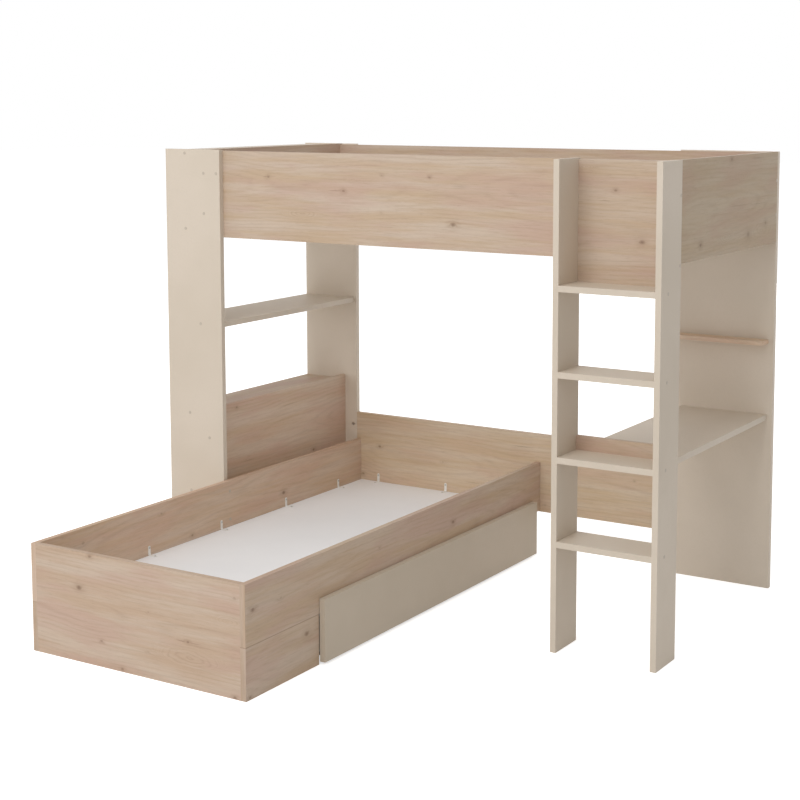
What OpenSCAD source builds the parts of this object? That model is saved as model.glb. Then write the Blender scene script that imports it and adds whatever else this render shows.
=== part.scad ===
// L-shaped bunk bed: a high bed along the wall side and a low bed set at a
// right angle under it, with a ladder tower, a desk top, a roll-out drawer, an
// open shelf and a bedside box. Flat boards held by stepped screws, cams and
// dowels. Millimetres, +Z up. The origin is on the floor at the centre of the
// overall footprint; +X is to the ladder end and -Y is the footboard side.

/* [Overall] */
// overall width along the high bed
overall_w = 2264; // [2200:1:2320]
// overall depth from the footboard to the back face
overall_d = 2072; // [2040:1:2120]
// overall height of the posts
overall_h = 1746; // [1700:1:1800]
// thickness of the plain structural boards
board_t = 22; // [20:1:24]
// thickness of the wood-look boards
panel_t = 16; // [14:1:18]
// clear depth between the front and back planes of the high bed
inner_d = 950; // [940:1:960]

/* [High bed] */
// height of the wood-look guards
guard_h = 350; // [320:1:360]
// width of the two left posts
post_w = 280; // [260:1:300]
// distance from the left side to the inner face of the left end panel
high_bed_left = 205; // [200:1:210]
// height of the upper niche floor above the guard's lower edge
niche_floor_rise = 20; // [10:1:30]
// drop of the upper niche's top board below the top of the posts
niche_top_drop = 5; // [3:1:15]

/* [Ladder tower] */
// outer width of the ladder tower
ladder_w = 406; // [380:1:430]
// depth of the uprights and rungs
ladder_d = 164; // [150:1:180]
// number of rungs
rung_count = 4; // [4:1:4]
// height of the lowest rung's underside
rung_first = 382; // [370:1:390]
// rise from one rung to the next
rung_pitch = 302; // [298:1:303]

/* [Desk] */
// height of the stop strip behind the second rung
stop_strip_h = 52; // [40:1:60]
// underside height of the pencil ledge
ledge_z = 990; // [960:1:1020]
// depth of the pencil ledge
ledge_d = 72; // [60:1:80]
// corner radius of the pencil ledge
ledge_r = 20; // [10:1:30]

/* [Low bed] */
// outer width of the low bed
low_bed_w = 953; // [930:1:960]
// height of the low bed's sides and footboard
low_bed_h = 392; // [385:1:400]
// underside height of the side rails
rail_z = 180; // [175:1:190]
// depth of the leg boards under the rails
leg_d = 408; // [380:1:420]
// height of the base board's upper face
base_top = 202; // [200:1:208]
// underside of the long head panel
head_z = 175; // [170:1:180]
// height of the long head panel
head_h = 338; // [320:1:350]

/* [Shelf and bedside box] */
// depth of the open shelf
shelf_w = 266; // [250:1:270]
// underside height of the open shelf
shelf_z = 1023; // [1000:1:1040]
// distance from the left side to the box's side board
box_side_x = 200; // [190:1:210]
// underside height of the box's side board
box_z = 320; // [310:1:330]
// height of the box's side board
box_h = 366; // [350:1:380]
// thickness of the niche floor and top boards
niche_t = 22; // [18:1:22]

/* [Drawer] */
// length of the drawer front
drawer_front_l = 1567; // [1540:1:1580]
// underside height of the drawer front
drawer_front_z = 10; // [8:1:15]
// height of the drawer front
drawer_front_h = 225; // [215:1:230]
// depth of the drawer box behind its front
drawer_d = 700; // [600:1:760]
// radius of the castor wheels
wheel_r = 20; // [18:1:22]
// width of the castor wheels
wheel_w = 16; // [12:1:18]

/* [Hidden] */
$fn = 64;
slack = 1;                 // assembly play round a dropped-in board
slide_gap = 1;             // air between the drawer and the bed
beige = [0.83, 0.78, 0.71];
wood = [0.77, 0.68, 0.59];
white = [0.93, 0.92, 0.90];
zinc = [0.72, 0.73, 0.74];
black = [0.12, 0.12, 0.13];
beech = [0.80, 0.66, 0.48];

// main planes of the high bed
back_y = overall_d - board_t;             // front face of the back posts
front_y = back_y - inner_d;               // back face of the front post
post_reveal = 4;                          // step from the posts down to the guards
guard_z = overall_h - post_reveal - guard_h;
guard_top = guard_z + guard_h;
end_x = overall_w - panel_t;              // inner face of the right end panel
high_bed_y0 = front_y + panel_t;          // inner face of the front guard
high_bed_y1 = back_y - panel_t;           // inner face of the back guard
left_end_x = high_bed_left - panel_t;     // outer face of the left end panel
left_end_z = overall_h - guard_h;
niche_floor_z = guard_z + niche_floor_rise;
niche_top_z = overall_h - niche_top_drop - niche_t;
high_base_top = niche_floor_z + niche_t;

// ladder tower
ladder_x0 = overall_w - ladder_w;
ladder_x1 = overall_w;
ladder_y0 = front_y - ladder_d;
rung_x0 = ladder_x0 + board_t;
rung_l = ladder_w - 2 * board_t;
second_rung_top = rung_first + rung_pitch + board_t;
top_rung_top = rung_first + (rung_count - 1) * rung_pitch + board_t;
desk_z = second_rung_top - board_t;

// low bed
rail_l_x = post_w;                        // outer face of the left rail
rail_l_in = rail_l_x + board_t;
rail_r_out = rail_l_x + low_bed_w;        // outer face of the right rail
rail_r_in = rail_r_out - board_t;
low_bed_cx = (rail_l_in + rail_r_in) / 2;
low_bed_iw = rail_r_in - rail_l_in;
rail_h = low_bed_h - rail_z;
base_t = 16;
bearer_t = 16;
bearer_w = 80;
bearer_gap = 4;
// bearer stations, counted from the middle of the low bed's base
station_step = [-832, -439, 0, 439, 832];
station_shift = -5;        // stations sit a little towards the footboard
low_bed_cy = (board_t + back_y) / 2 + station_shift;
high_bed_cx = (high_bed_left + end_x) / 2;
end_bracket_step = [-359, 0, 359];

// stepped screw, its cap and its bores
screw_l = 48;
screw_head_r = 5;
screw_head_h = 2.5;
screw_shoulder_r = 3.5;
screw_core_r = 2.5;
bore_play = 0.15;
cap_r = 6.5;
cap_t = 0.8;
cap_rim = 0.3;

// dowels and cams
dowel_r = 4;
dowel_l = 30;
cam_r = 7.5;
cam_under = 4;             // cam height past the bolt's axis
cam_reach = 20;            // from the joint to the cam's centre
cam_bolt_r = 3;
cam_bolt_hold = 10;        // bolt length held in the facing board

// angle brackets
bracket_w = 12;
bracket_leg = 38;
bracket_t = 2;
bracket_hole_at = 30;
pan_r = 3.8;
pan_h = 2;
wood_screw_r = 1.8;

// drawer
drawer_x0 = rail_r_out + slide_gap;       // back face of the drawer front
drawer_y0 = leg_d + 3;
drawer_y1 = drawer_y0 + drawer_front_l;
drawer_wall = 16;
drawer_inset = 19;                        // front's overhang past the box
drawer_box_y0 = drawer_y0 + drawer_inset;
drawer_box_y1 = drawer_y1 - drawer_inset;
drawer_box_x0 = drawer_x0 - drawer_d;
drawer_floor_z = 48;                      // underside of the drawer floor
drawer_wall_h = 110;
divider_y = (drawer_box_y0 + drawer_box_y1) / 2;

// castors
fork_t = 2.5;
fork_gap = 1;                             // air on each side of the wheel
axle_r = 3;
wheel_bore_r = axle_r + 0.3;
fork_plate = [44, 62];
castor_in = 60;
castor_xs = [drawer_box_x0 + castor_in, drawer_x0 - castor_in];
castor_ys = [drawer_box_y0 + castor_in, drawer_box_y1 - castor_in];

// ---------------------------------------------------------------- helpers

// moves a body drawn from the left front floor corner to the shared frame
module placed() {
    translate([-overall_w / 2, -overall_d / 2, 0]) children();
}

// turns +Z towards the side a fastener is driven to
module aim(side) {
    turn = side == "right" ? [0, 90, 0]
         : side == "left" ? [0, -90, 0]
         : side == "back" ? [-90, 0, 0]
         : side == "front" ? [90, 0, 0]
         : side == "down" ? [180, 0, 0]
         : [0, 0, 0];
    rotate(turn) children();
}

// one copy of the children at each point, turned to the driving side
module each_at(points, side) {
    for (p = points) translate(p) aim(side) children();
}

// a flat board from its low corner and its size
module board(corner, size) {
    translate(corner) cube(size);
}

// ------------------------------------------------------------- fasteners

// stepped screw: head under the surface, shoulder through the first board
module stepped_screw(through) {
    translate([0, 0, 0.1]) {
        cylinder(h = screw_head_h, r1 = screw_head_r, r2 = screw_shoulder_r);
        translate([0, 0, screw_head_h]) cylinder(h = through - screw_head_h - 0.1, r = screw_shoulder_r);
        translate([0, 0, through - 0.1]) cylinder(h = screw_l - through, r = screw_core_r);
    }
}

// the stepped bore of that screw, drilled through both boards at once
module stepped_bore(through) {
    translate([0, 0, -0.5]) cylinder(h = 0.6, r = screw_head_r + bore_play);
    translate([0, 0, 0.1]) cylinder(
        h = screw_head_h, r1 = screw_head_r + bore_play, r2 = screw_shoulder_r + bore_play);
    cylinder(h = through, r = screw_shoulder_r + bore_play);
    cylinder(h = screw_l + 1, r = screw_core_r + bore_play);
}

// low domed cap lying over a screw head
module screw_cap() {
    aim("down") {
        cylinder(h = cap_rim, r = cap_r);
        translate([0, 0, cap_rim]) cylinder(h = cap_t - cap_rim, r1 = cap_r, r2 = cap_r - 1);
    }
}

// plain dowel centred on the joint
module dowel() {
    translate([0, 0, -dowel_l / 2]) cylinder(h = dowel_l, r = dowel_r);
}

module dowel_bore() {
    translate([0, 0, -dowel_l / 2 - 1]) cylinder(h = dowel_l + 2, r = dowel_r + bore_play);
}

// cam housing with its slot, sunk from the surface along +Z, crossed by the
// bolt's hole at the given depth
module cam_housing(depth) {
    difference() {
        cylinder(h = depth + cam_under, r = cam_r);
        translate([-cam_r, -1, -1]) cube([2 * cam_r, 2, 3]);
        translate([0, 0, depth]) aim("right") {
            translate([0, 0, -cam_r - 1]) cylinder(h = 2 * cam_r + 2, r = cam_bolt_r + 0.5);
        }
    }
}

module cam_bore(depth) {
    translate([0, 0, -1]) cylinder(h = depth + cam_under + 1.5, r = cam_r + bore_play);
}

// bolt from the joint: head end in the cam, screwed end in the facing board
module cam_bolt() {
    translate([0, 0, -cam_bolt_hold]) cylinder(h = cam_bolt_hold + cam_reach - 4, r = cam_bolt_r);
}

module cam_bolt_bore() {
    translate([0, 0, -cam_bolt_hold - 0.5]) {
        cylinder(h = cam_bolt_hold + cam_reach, r = cam_bolt_r + bore_play);
    }
}

// a cam joint: the bolt runs along `side` from the joint point into the board
// that holds the cam, and the cam is sunk from the face that looks to `face`
module cam_joint(points, side, face, depth) {
    for (p = points) translate(p) {
        aim(side) cam_bolt();
        cam_place(side, face, depth) cam_housing(depth);
    }
}

module cam_joint_bore(points, side, face, depth) {
    for (p = points) translate(p) {
        aim(side) cam_bolt_bore();
        cam_place(side, face, depth) cam_bore(depth);
    }
}

// puts a cam at its reach along `side`, entering from the face at `depth`
module cam_place(side, face, depth) {
    along = side_vector(side) * cam_reach;
    outward = side_vector(face) * depth;
    translate(along + outward) {
        aim(opposite(face)) rotate(cam_turn(side)) children();
    }
}

// turn that lines the cam's cross bore up with its bolt
function cam_turn(side) = (side == "left" || side == "right") ? 0 : 90;

function side_vector(side) =
    side == "right" ? [1, 0, 0]
    : side == "left" ? [-1, 0, 0]
    : side == "back" ? [0, 1, 0]
    : side == "front" ? [0, -1, 0]
    : side == "up" ? [0, 0, 1]
    : [0, 0, -1];

function opposite(side) =
    side == "right" ? "left"
    : side == "left" ? "right"
    : side == "back" ? "front"
    : side == "front" ? "back"
    : side == "up" ? "down"
    : "up";

// ------------------------------------------------------------ joint places

niche_screw_x = 100;       // screws through the posts into the niche boards
shelf_screw_x = 171;       // screw through the posts into the open shelf
box_screw_x = 107;         // screws through the posts into the box's boards
box_side_screw_rise = 243; // screw into the side board, above its lower edge
box_top_drop = 27;         // middle of the box's top under the side's top edge
box_bottom_rise = 11;      // middle of the box's bottom over the side's lower edge
guard_pair_low = 95;       // lower guard screw above the guard's lower edge
guard_pair_high = 92;      // upper guard screw below the guard's top edge
guard_pair_z = [guard_z + guard_pair_low, guard_top - guard_pair_high];

// screws through the front left post, driven back
front_post_screws = [
    [niche_screw_x, niche_top_z + niche_t / 2],
    [niche_screw_x, niche_floor_z + niche_t / 2],
    [left_end_x + panel_t / 2, guard_pair_z[0]],
    [left_end_x + panel_t / 2, guard_pair_z[1]],
    [shelf_screw_x, shelf_z + board_t / 2],
    [box_screw_x, box_top_mid()],
    [box_side_x + panel_t / 2, box_z + box_side_screw_rise],
    [box_screw_x, box_bottom_mid()]
];
function box_top_mid() = box_z + box_h - box_top_drop;
function box_bottom_mid() = box_z + box_bottom_rise;

front_post_points = [for (s = front_post_screws) [s[0], front_y - board_t, s[1]]];
rear_post_points = [for (s = front_post_screws) [s[0], overall_d, s[1]]];

// one short screw from each post into the face of its guard
guard_face_in = 18;        // distance of these screws from the post's edge
guard_face_x = post_w - guard_face_in;
guard_face_points_front = [[guard_face_x, front_y - board_t, guard_pair_z[1]]];
guard_face_points_rear = [[guard_face_x, overall_d, guard_pair_z[1]]];

// screws through the uprights into the rungs and the back panel
rung_screw_in = 59;        // from the upright's front edge
rung_screw_y = ladder_y0 + rung_screw_in;
rung_mids = [for (i = [0:rung_count - 1]) rung_first + i * rung_pitch + board_t / 2];
back_panel_screw_low = 77;
back_panel_screw_high = 116;
back_panel_zs = [top_rung_top + back_panel_screw_low, guard_top - back_panel_screw_high];
tower_screw_points_right = concat(
    [for (z = rung_mids) [ladder_x1, rung_screw_y, z]],
    [for (z = back_panel_zs) [ladder_x1, front_y - panel_t / 2, z]]);
tower_screw_points_left = concat(
    [for (z = rung_mids) [ladder_x0, rung_screw_y, z]],
    [for (z = back_panel_zs) [ladder_x0, front_y - panel_t / 2, z]]);

// screws through the right end panel into the back guard's end
end_screw_in = 108;        // from the guard's upper and lower edges
end_panel_points = [
    for (z = [guard_z + end_screw_in, guard_top - end_screw_in])
        [overall_w, back_y - panel_t / 2, z]];

// screws through the rear right panel into what butts against it
desk_screw_in = 60;        // from the desk's side edges
corner_screw_in = 40;      // from the end panel's upper and lower edges
desk_xs = [rung_x0 + desk_screw_in, ladder_x1 - board_t - desk_screw_in];
rear_panel_desk_points = [for (x = desk_xs) [x, overall_d, desk_z + board_t / 2]];
rear_panel_ledge_points = [for (x = desk_xs) [x, overall_d, ledge_z + panel_t / 2]];
rear_panel_end_points = [
    for (z = [guard_z + corner_screw_in, guard_top - corner_screw_in])
        [end_x + panel_t / 2, overall_d, z]];

// screws through the long head panel into the rails' rear ends
rail_screw_low = 80;
rail_screw_high = 50;
rail_end_zs = [rail_z + rail_screw_low, low_bed_h - rail_screw_high];
head_rail_l_points = [for (z = rail_end_zs) [rail_l_x + board_t / 2, overall_d, z]];
head_rail_r_points = [for (z = rail_end_zs) [rail_r_in + board_t / 2, overall_d, z]];

// screws from inside the left rail into the front left post's edge
rail_post_in = 42;         // from the rail's upper edge, a little more from the lower
rail_post_points = [
    for (z = [rail_z + rail_post_in + 10, low_bed_h - rail_post_in])
        [rail_l_in, front_y - board_t / 2, z]];

// stop strip: screws from under the second rung
strip_screw_in = 120;
strip_xs = [rung_x0 + strip_screw_in, ladder_x1 - board_t - strip_screw_in];
strip_points = [for (x = strip_xs) [x, front_y - panel_t / 2, desk_z]];

// cams: joint points, on the joint plane
head_cam_in = 55;          // from the head panel's upper and lower edges
head_cam_zs = [head_z + head_cam_in, head_z + head_h - head_cam_in];
head_left_cam_points = [for (z = head_cam_zs) [post_w, overall_d - board_t / 2, z]];
head_right_cam_points = [for (z = head_cam_zs) [ladder_x0, overall_d - board_t / 2, z]];
foot_cam_zs = [90, 290];   // one into the leg board, one into the rail
foot_left_cam_points = [for (z = foot_cam_zs) [rail_l_in, board_t / 2, z]];
foot_right_cam_points = [for (z = foot_cam_zs) [rail_r_in, board_t / 2, z]];
desk_cam_points = [for (x = desk_xs) [x, front_y, desk_z + board_t / 2]];

// dowels: points on the joint plane
leg_dowel_in = 60;
leg_dowel_ys = [leg_dowel_in, leg_d / 2, leg_d - leg_dowel_in];
left_leg_dowels = [for (y = leg_dowel_ys) [rail_l_x + board_t / 2, y, rail_z]];
right_leg_dowels = [for (y = leg_dowel_ys) [rail_r_in + board_t / 2, y, rail_z]];
end_dowel_in = 120;
box_dowel_ys = [front_y + end_dowel_in, (front_y + back_y) / 2, back_y - end_dowel_in];
box_top_dowels = [for (y = box_dowel_ys) [box_side_x, y, box_top_mid()]];
box_bottom_dowels = [for (y = box_dowel_ys) [box_side_x, y, box_bottom_mid()]];
niche_top_dowels = [for (y = box_dowel_ys) [left_end_x, y, niche_top_z + niche_t / 2]];
niche_floor_dowels = [for (y = box_dowel_ys) [left_end_x, y, niche_floor_z + niche_t / 2]];
tower_dowel_in = 60;
tower_end_dowels = [
    for (z = [guard_z + tower_dowel_in, guard_top - tower_dowel_in])
        [end_x + panel_t / 2, front_y, z]];
short_dowel_l = 20;

// brackets: corner points on the base board, with the side they are fixed to
low_stations = [for (s = station_step) low_bed_cy + s];
station_spread = 1.1;      // wider spacing along the longer high bed
high_stations = [for (s = station_step) high_bed_cx + s * station_spread];

// --------------------------------------------------------------- brackets

// L bracket: one leg on the board, the other up the `-X` wall
module bracket() {
    difference() {
        union() {
            translate([0, -bracket_w / 2, 0]) cube([bracket_leg, bracket_w, bracket_t]);
            translate([0, -bracket_w / 2, bracket_t]) {
                cube([bracket_t, bracket_w, bracket_leg - bracket_t]);
            }
        }
        translate([bracket_hole_at, 0, -1]) cylinder(h = bracket_t + 2, r = wood_screw_r + 0.3);
        translate([-1, 0, bracket_hole_at]) aim("right") cylinder(h = bracket_t + 2, r = wood_screw_r + 0.3);
    }
}

// its two pan head screws: down into the bearer, sideways into the wall
module bracket_screw_pair(wall_depth, down_depth) {
    translate([bracket_hole_at, 0, bracket_t + pan_h]) aim("down") pan_screw(down_depth + bracket_t);
    translate([bracket_t + pan_h, 0, bracket_hole_at]) aim("left") pan_screw(wall_depth + bracket_t);
}

module bracket_bore_pair(wall_depth, down_depth) {
    bore_r = wood_screw_r + bore_play;
    translate([bracket_hole_at, 0, 0.5]) aim("down") cylinder(h = down_depth + 1.5, r = bore_r);
    translate([0.5, 0, bracket_hole_at]) aim("left") cylinder(h = wall_depth + 1.5, r = bore_r);
}

// pan head screw driven along +Z, head first above the surface
module pan_screw(reach) {
    cylinder(h = pan_h, r1 = pan_r - 0.8, r2 = pan_r);
    translate([0, 0, pan_h]) cylinder(h = reach, r = wood_screw_r);
}

// bracket places along the low bed's rails, over the bearers
module low_bed_side_places() {
    for (y = low_stations) {
        translate([rail_l_in, y, base_top]) children();
        translate([rail_r_in, y, base_top]) rotate(180) children();
    }
}

// bracket places at the low bed's ends, where the base has no bearer
module low_bed_end_places() {
    for (s = end_bracket_step) {
        translate([low_bed_cx + s, back_y, base_top]) rotate(-90) children();
        translate([low_bed_cx + s, board_t, base_top]) rotate(90) children();
    }
}

// bracket places of the high bed
module high_bed_bracket_places() {
    for (x = high_stations) {
        translate([x, high_bed_y0, high_base_top]) rotate(90) children();
        translate([x, high_bed_y1, high_base_top]) rotate(-90) children();
    }
}

wall_bite = 11;
down_bite = base_t + 12;
end_down_bite = base_t - 3;

module low_bed_bracket_bores() {
    low_bed_side_places() bracket_bore_pair(wall_bite, down_bite);
    low_bed_end_places() bracket_bore_pair(wall_bite, end_down_bite);
}

module high_bed_bracket_bores() {
    high_bed_bracket_places() bracket_bore_pair(wall_bite, down_bite);
}

// ------------------------------------------------------ posts and panels

module post_bores(points, points_guard, side) {
    each_at(points, side) stepped_bore(board_t);
    each_at(points_guard, side) guard_bore();
}

// short countersunk screw through a post into a guard's face
guard_screw_l = board_t + panel_t - 4;

module guard_screw() {
    translate([0, 0, 0.1]) {
        cylinder(h = screw_head_h, r1 = screw_head_r, r2 = cam_bolt_r);
        translate([0, 0, screw_head_h]) cylinder(h = guard_screw_l - screw_head_h, r = cam_bolt_r);
    }
}

module guard_bore() {
    translate([0, 0, -0.5]) cylinder(h = 0.6, r = screw_head_r + bore_play);
    translate([0, 0, 0.1]) cylinder(
        h = screw_head_h, r1 = screw_head_r + bore_play, r2 = cam_bolt_r + bore_play);
    cylinder(h = guard_screw_l + 1, r = cam_bolt_r + bore_play);
}

module front_left_post() {
    color(beige) placed() difference() {
        board([0, front_y - board_t, 0], [post_w, board_t, overall_h]);
        post_bores(front_post_points, guard_face_points_front, "back");
        each_at(rail_post_points, "left") stepped_bore(board_t);
    }
}

module rear_left_post() {
    color(beige) placed() difference() {
        board([0, back_y, 0], [post_w, board_t, overall_h]);
        post_bores(rear_post_points, guard_face_points_rear, "front");
        cam_joint_bore(head_left_cam_points, "left", "front", board_t / 2);
    }
}

module rear_right_panel() {
    color(beige) placed() difference() {
        board([ladder_x0, back_y, 0], [ladder_w, board_t, overall_h]);
        each_at(concat(rear_panel_desk_points, rear_panel_ledge_points, rear_panel_end_points), "front") {
            stepped_bore(board_t);
        }
        cam_joint_bore(head_right_cam_points, "right", "back", board_t / 2);
    }
}

module front_guard_panel() {
    color(wood) placed() difference() {
        board([high_bed_left, front_y, guard_z], [end_x - high_bed_left, panel_t, guard_h]);
        each_at(guard_face_points_front, "back") guard_bore();
        high_bed_bracket_bores();
    }
}

module rear_guard_panel() {
    color(wood) placed() difference() {
        board([high_bed_left, high_bed_y1, guard_z], [end_x - high_bed_left, panel_t, guard_h]);
        each_at(guard_face_points_rear, "front") guard_bore();
        each_at(end_panel_points, "left") stepped_bore(panel_t);
        high_bed_bracket_bores();
    }
}

module left_end_panel() {
    color(wood) placed() difference() {
        board([left_end_x, front_y, left_end_z], [panel_t, inner_d, guard_h]);
        each_at(front_post_points, "back") stepped_bore(board_t);
        each_at(rear_post_points, "front") stepped_bore(board_t);
        each_at(concat(niche_top_dowels, niche_floor_dowels), "right") short_dowel_bore();
    }
}

module right_end_panel() {
    color(wood) placed() difference() {
        board([end_x, front_y, guard_z], [panel_t, inner_d, overall_h - guard_z]);
        each_at(end_panel_points, "left") stepped_bore(panel_t);
        each_at(rear_panel_end_points, "front") stepped_bore(board_t);
        each_at(tower_end_dowels, "back") dowel_bore();
    }
}

// dowel that enters a 16 mm face only part of the way
module short_dowel() {
    translate([0, 0, -short_dowel_l + 9]) cylinder(h = short_dowel_l, r = dowel_r);
}

module short_dowel_bore() {
    translate([0, 0, -short_dowel_l + 8]) cylinder(h = short_dowel_l + 2, r = dowel_r + bore_play);
}

// ----------------------------------------------- niche, shelf and box

module niche_board(z, dowels) {
    difference() {
        board([0, front_y, z], [left_end_x, inner_d, niche_t]);
        each_at(front_post_points, "back") stepped_bore(board_t);
        each_at(rear_post_points, "front") stepped_bore(board_t);
        each_at(dowels, "right") short_dowel_bore();
    }
}

module upper_niche_top_board() {
    color(beige) placed() niche_board(niche_top_z, niche_top_dowels);
}

module upper_niche_bottom_board() {
    color(beige) placed() niche_board(niche_floor_z, niche_floor_dowels);
}

module open_shelf() {
    color(beige) placed() difference() {
        board([0, front_y, shelf_z], [shelf_w, inner_d, board_t]);
        each_at(front_post_points, "back") stepped_bore(board_t);
        each_at(rear_post_points, "front") stepped_bore(board_t);
    }
}

module bedside_box_side() {
    color(wood) placed() difference() {
        board([box_side_x, front_y, box_z], [panel_t, inner_d, box_h]);
        each_at(front_post_points, "back") stepped_bore(board_t);
        each_at(rear_post_points, "front") stepped_bore(board_t);
        each_at(concat(box_top_dowels, box_bottom_dowels), "right") short_dowel_bore();
    }
}

module box_board(mid_z, dowels) {
    difference() {
        board([0, front_y, mid_z - panel_t / 2], [box_side_x, inner_d, panel_t]);
        each_at(front_post_points, "back") stepped_bore(board_t);
        each_at(rear_post_points, "front") stepped_bore(board_t);
        each_at(dowels, "right") short_dowel_bore();
    }
}

module bedside_box_top() {
    color(wood) placed() box_board(box_top_mid(), box_top_dowels);
}

module bedside_box_bottom() {
    color(wood) placed() box_board(box_bottom_mid(), box_bottom_dowels);
}

// ------------------------------------------------------- bed bases

module high_bed_base() {
    color(white) placed() difference() {
        board(
            [high_bed_left + slack, high_bed_y0 + slack, high_base_top - base_t],
            [end_x - high_bed_left - 2 * slack, high_bed_y1 - high_bed_y0 - 2 * slack, base_t]);
        high_bed_bracket_bores();
    }
}

module high_bed_bearers() {
    color(beige) placed() difference() {
        for (x = high_stations) board(
            [x - bearer_w / 2, high_bed_y0 + bearer_gap, high_base_top - base_t - bearer_t],
            [bearer_w, high_bed_y1 - high_bed_y0 - 2 * bearer_gap, bearer_t]);
        high_bed_bracket_bores();
    }
}

module high_bed_brackets() {
    color(white) placed() high_bed_bracket_places() bracket();
}

module low_bed_base() {
    color(white) placed() difference() {
        board(
            [rail_l_in + slack, board_t + slack, base_top - base_t],
            [low_bed_iw - 2 * slack, back_y - board_t - 2 * slack, base_t]);
        low_bed_bracket_bores();
    }
}

module low_bed_bearers() {
    color(beige) placed() difference() {
        for (y = low_stations) board(
            [rail_l_in + bearer_gap, y - bearer_w / 2, base_top - base_t - bearer_t],
            [low_bed_iw - 2 * bearer_gap, bearer_w, bearer_t]);
        low_bed_bracket_bores();
    }
}

module low_bed_brackets() {
    color(white) placed() {
        low_bed_side_places() bracket();
        low_bed_end_places() bracket();
    }
}

module bracket_screws() {
    color(zinc) placed() {
        low_bed_side_places() bracket_screw_pair(wall_bite, down_bite);
        low_bed_end_places() bracket_screw_pair(wall_bite, end_down_bite);
        high_bed_bracket_places() bracket_screw_pair(wall_bite, down_bite);
    }
}

// ------------------------------------------------------ ladder and desk

module ladder_upright(x, points, side) {
    difference() {
        board([x, ladder_y0, 0], [board_t, ladder_d, overall_h]);
        each_at(points, side) stepped_bore(board_t);
    }
}

module ladder_left_upright() {
    color(beige) placed() ladder_upright(ladder_x0, tower_screw_points_left, "right");
}

module ladder_right_upright() {
    color(beige) placed() difference() {
        ladder_upright(ladder_x1 - board_t, tower_screw_points_right, "left");
        each_at(tower_end_dowels, "back") dowel_bore();
    }
}

module tower_bores() {
    each_at(tower_screw_points_left, "right") stepped_bore(board_t);
    each_at(tower_screw_points_right, "left") stepped_bore(board_t);
}

module ladder_rung(i) {
    difference() {
        board([rung_x0, ladder_y0, rung_first + i * rung_pitch], [rung_l, ladder_d, board_t]);
        tower_bores();
        if (i == 1) {
            cam_joint_bore(desk_cam_points, "back", "down", board_t / 2);
            each_at(strip_points, "up") stepped_bore(board_t);
        }
    }
}

module ladder_rung_1() {
    color(beige) placed() ladder_rung(0);
}

module ladder_rung_2() {
    color(beige) placed() ladder_rung(1);
}

module ladder_rung_3() {
    color(beige) placed() ladder_rung(2);
}

module ladder_rung_4() {
    color(beige) placed() ladder_rung(3);
}

module ladder_back_panel() {
    color(wood) placed() difference() {
        board([rung_x0, front_y - panel_t, top_rung_top], [rung_l, panel_t, guard_top - top_rung_top]);
        tower_bores();
    }
}

module desk_stop_strip() {
    color(wood) placed() difference() {
        board([rung_x0, front_y - panel_t, second_rung_top], [rung_l, panel_t, stop_strip_h]);
        each_at(strip_points, "up") stepped_bore(board_t);
    }
}

module desk_top() {
    color(beige) placed() difference() {
        board([rung_x0, front_y, desk_z], [rung_l, inner_d, board_t]);
        each_at(rear_panel_desk_points, "front") stepped_bore(board_t);
        cam_joint_bore(desk_cam_points, "back", "down", board_t / 2);
    }
}

// ledge with its two free front corners rounded
module pencil_ledge() {
    color(wood) placed() difference() {
        translate([ladder_x0, back_y - ledge_d, ledge_z]) linear_extrude(panel_t) {
            translate([0, ledge_r]) square([rung_l + board_t, ledge_d - ledge_r]);
            translate([ledge_r, 0]) square([rung_l + board_t - 2 * ledge_r, ledge_d]);
            translate([ledge_r, ledge_r]) circle(ledge_r);
            translate([rung_l + board_t - ledge_r, ledge_r]) circle(ledge_r);
        }
        each_at(rear_panel_ledge_points, "front") stepped_bore(board_t);
    }
}

// ------------------------------------------------------------- low bed

module low_bed_left_rail() {
    color(wood) placed() difference() {
        board([rail_l_x, 0, rail_z], [board_t, back_y, rail_h]);
        each_at(left_leg_dowels, "up") dowel_bore();
        each_at(rail_post_points, "left") stepped_bore(board_t);
        each_at(head_rail_l_points, "front") stepped_bore(board_t);
        cam_joint_bore(foot_left_cam_points, "right", "back", board_t / 2);
        low_bed_bracket_bores();
    }
}

module low_bed_left_leg() {
    color(wood) placed() difference() {
        board([rail_l_x, 0, 0], [board_t, leg_d, rail_z]);
        each_at(left_leg_dowels, "up") dowel_bore();
        cam_joint_bore(foot_left_cam_points, "right", "back", board_t / 2);
    }
}

module low_bed_right_rail() {
    color(wood) placed() difference() {
        board([rail_r_in, 0, rail_z], [board_t, back_y, rail_h]);
        each_at(right_leg_dowels, "up") dowel_bore();
        each_at(head_rail_r_points, "front") stepped_bore(board_t);
        cam_joint_bore(foot_right_cam_points, "left", "back", board_t / 2);
        low_bed_bracket_bores();
    }
}

module low_bed_right_leg() {
    color(wood) placed() difference() {
        board([rail_r_in, 0, 0], [board_t, leg_d, rail_z]);
        each_at(right_leg_dowels, "up") dowel_bore();
        cam_joint_bore(foot_right_cam_points, "left", "back", board_t / 2);
    }
}

module footboard() {
    color(wood) placed() difference() {
        board([rail_l_in, 0, 0], [low_bed_iw, board_t, low_bed_h]);
        cam_joint_bore(foot_left_cam_points, "right", "back", board_t / 2);
        cam_joint_bore(foot_right_cam_points, "left", "back", board_t / 2);
        low_bed_bracket_bores();
    }
}

module long_head_panel() {
    color(wood) placed() difference() {
        board([post_w, back_y, head_z], [ladder_x0 - post_w, board_t, head_h]);
        each_at(concat(head_rail_l_points, head_rail_r_points), "front") stepped_bore(board_t);
        cam_joint_bore(head_left_cam_points, "left", "front", board_t / 2);
        cam_joint_bore(head_right_cam_points, "right", "back", board_t / 2);
        low_bed_bracket_bores();
    }
}

// ------------------------------------------------------ shared hardware

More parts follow.
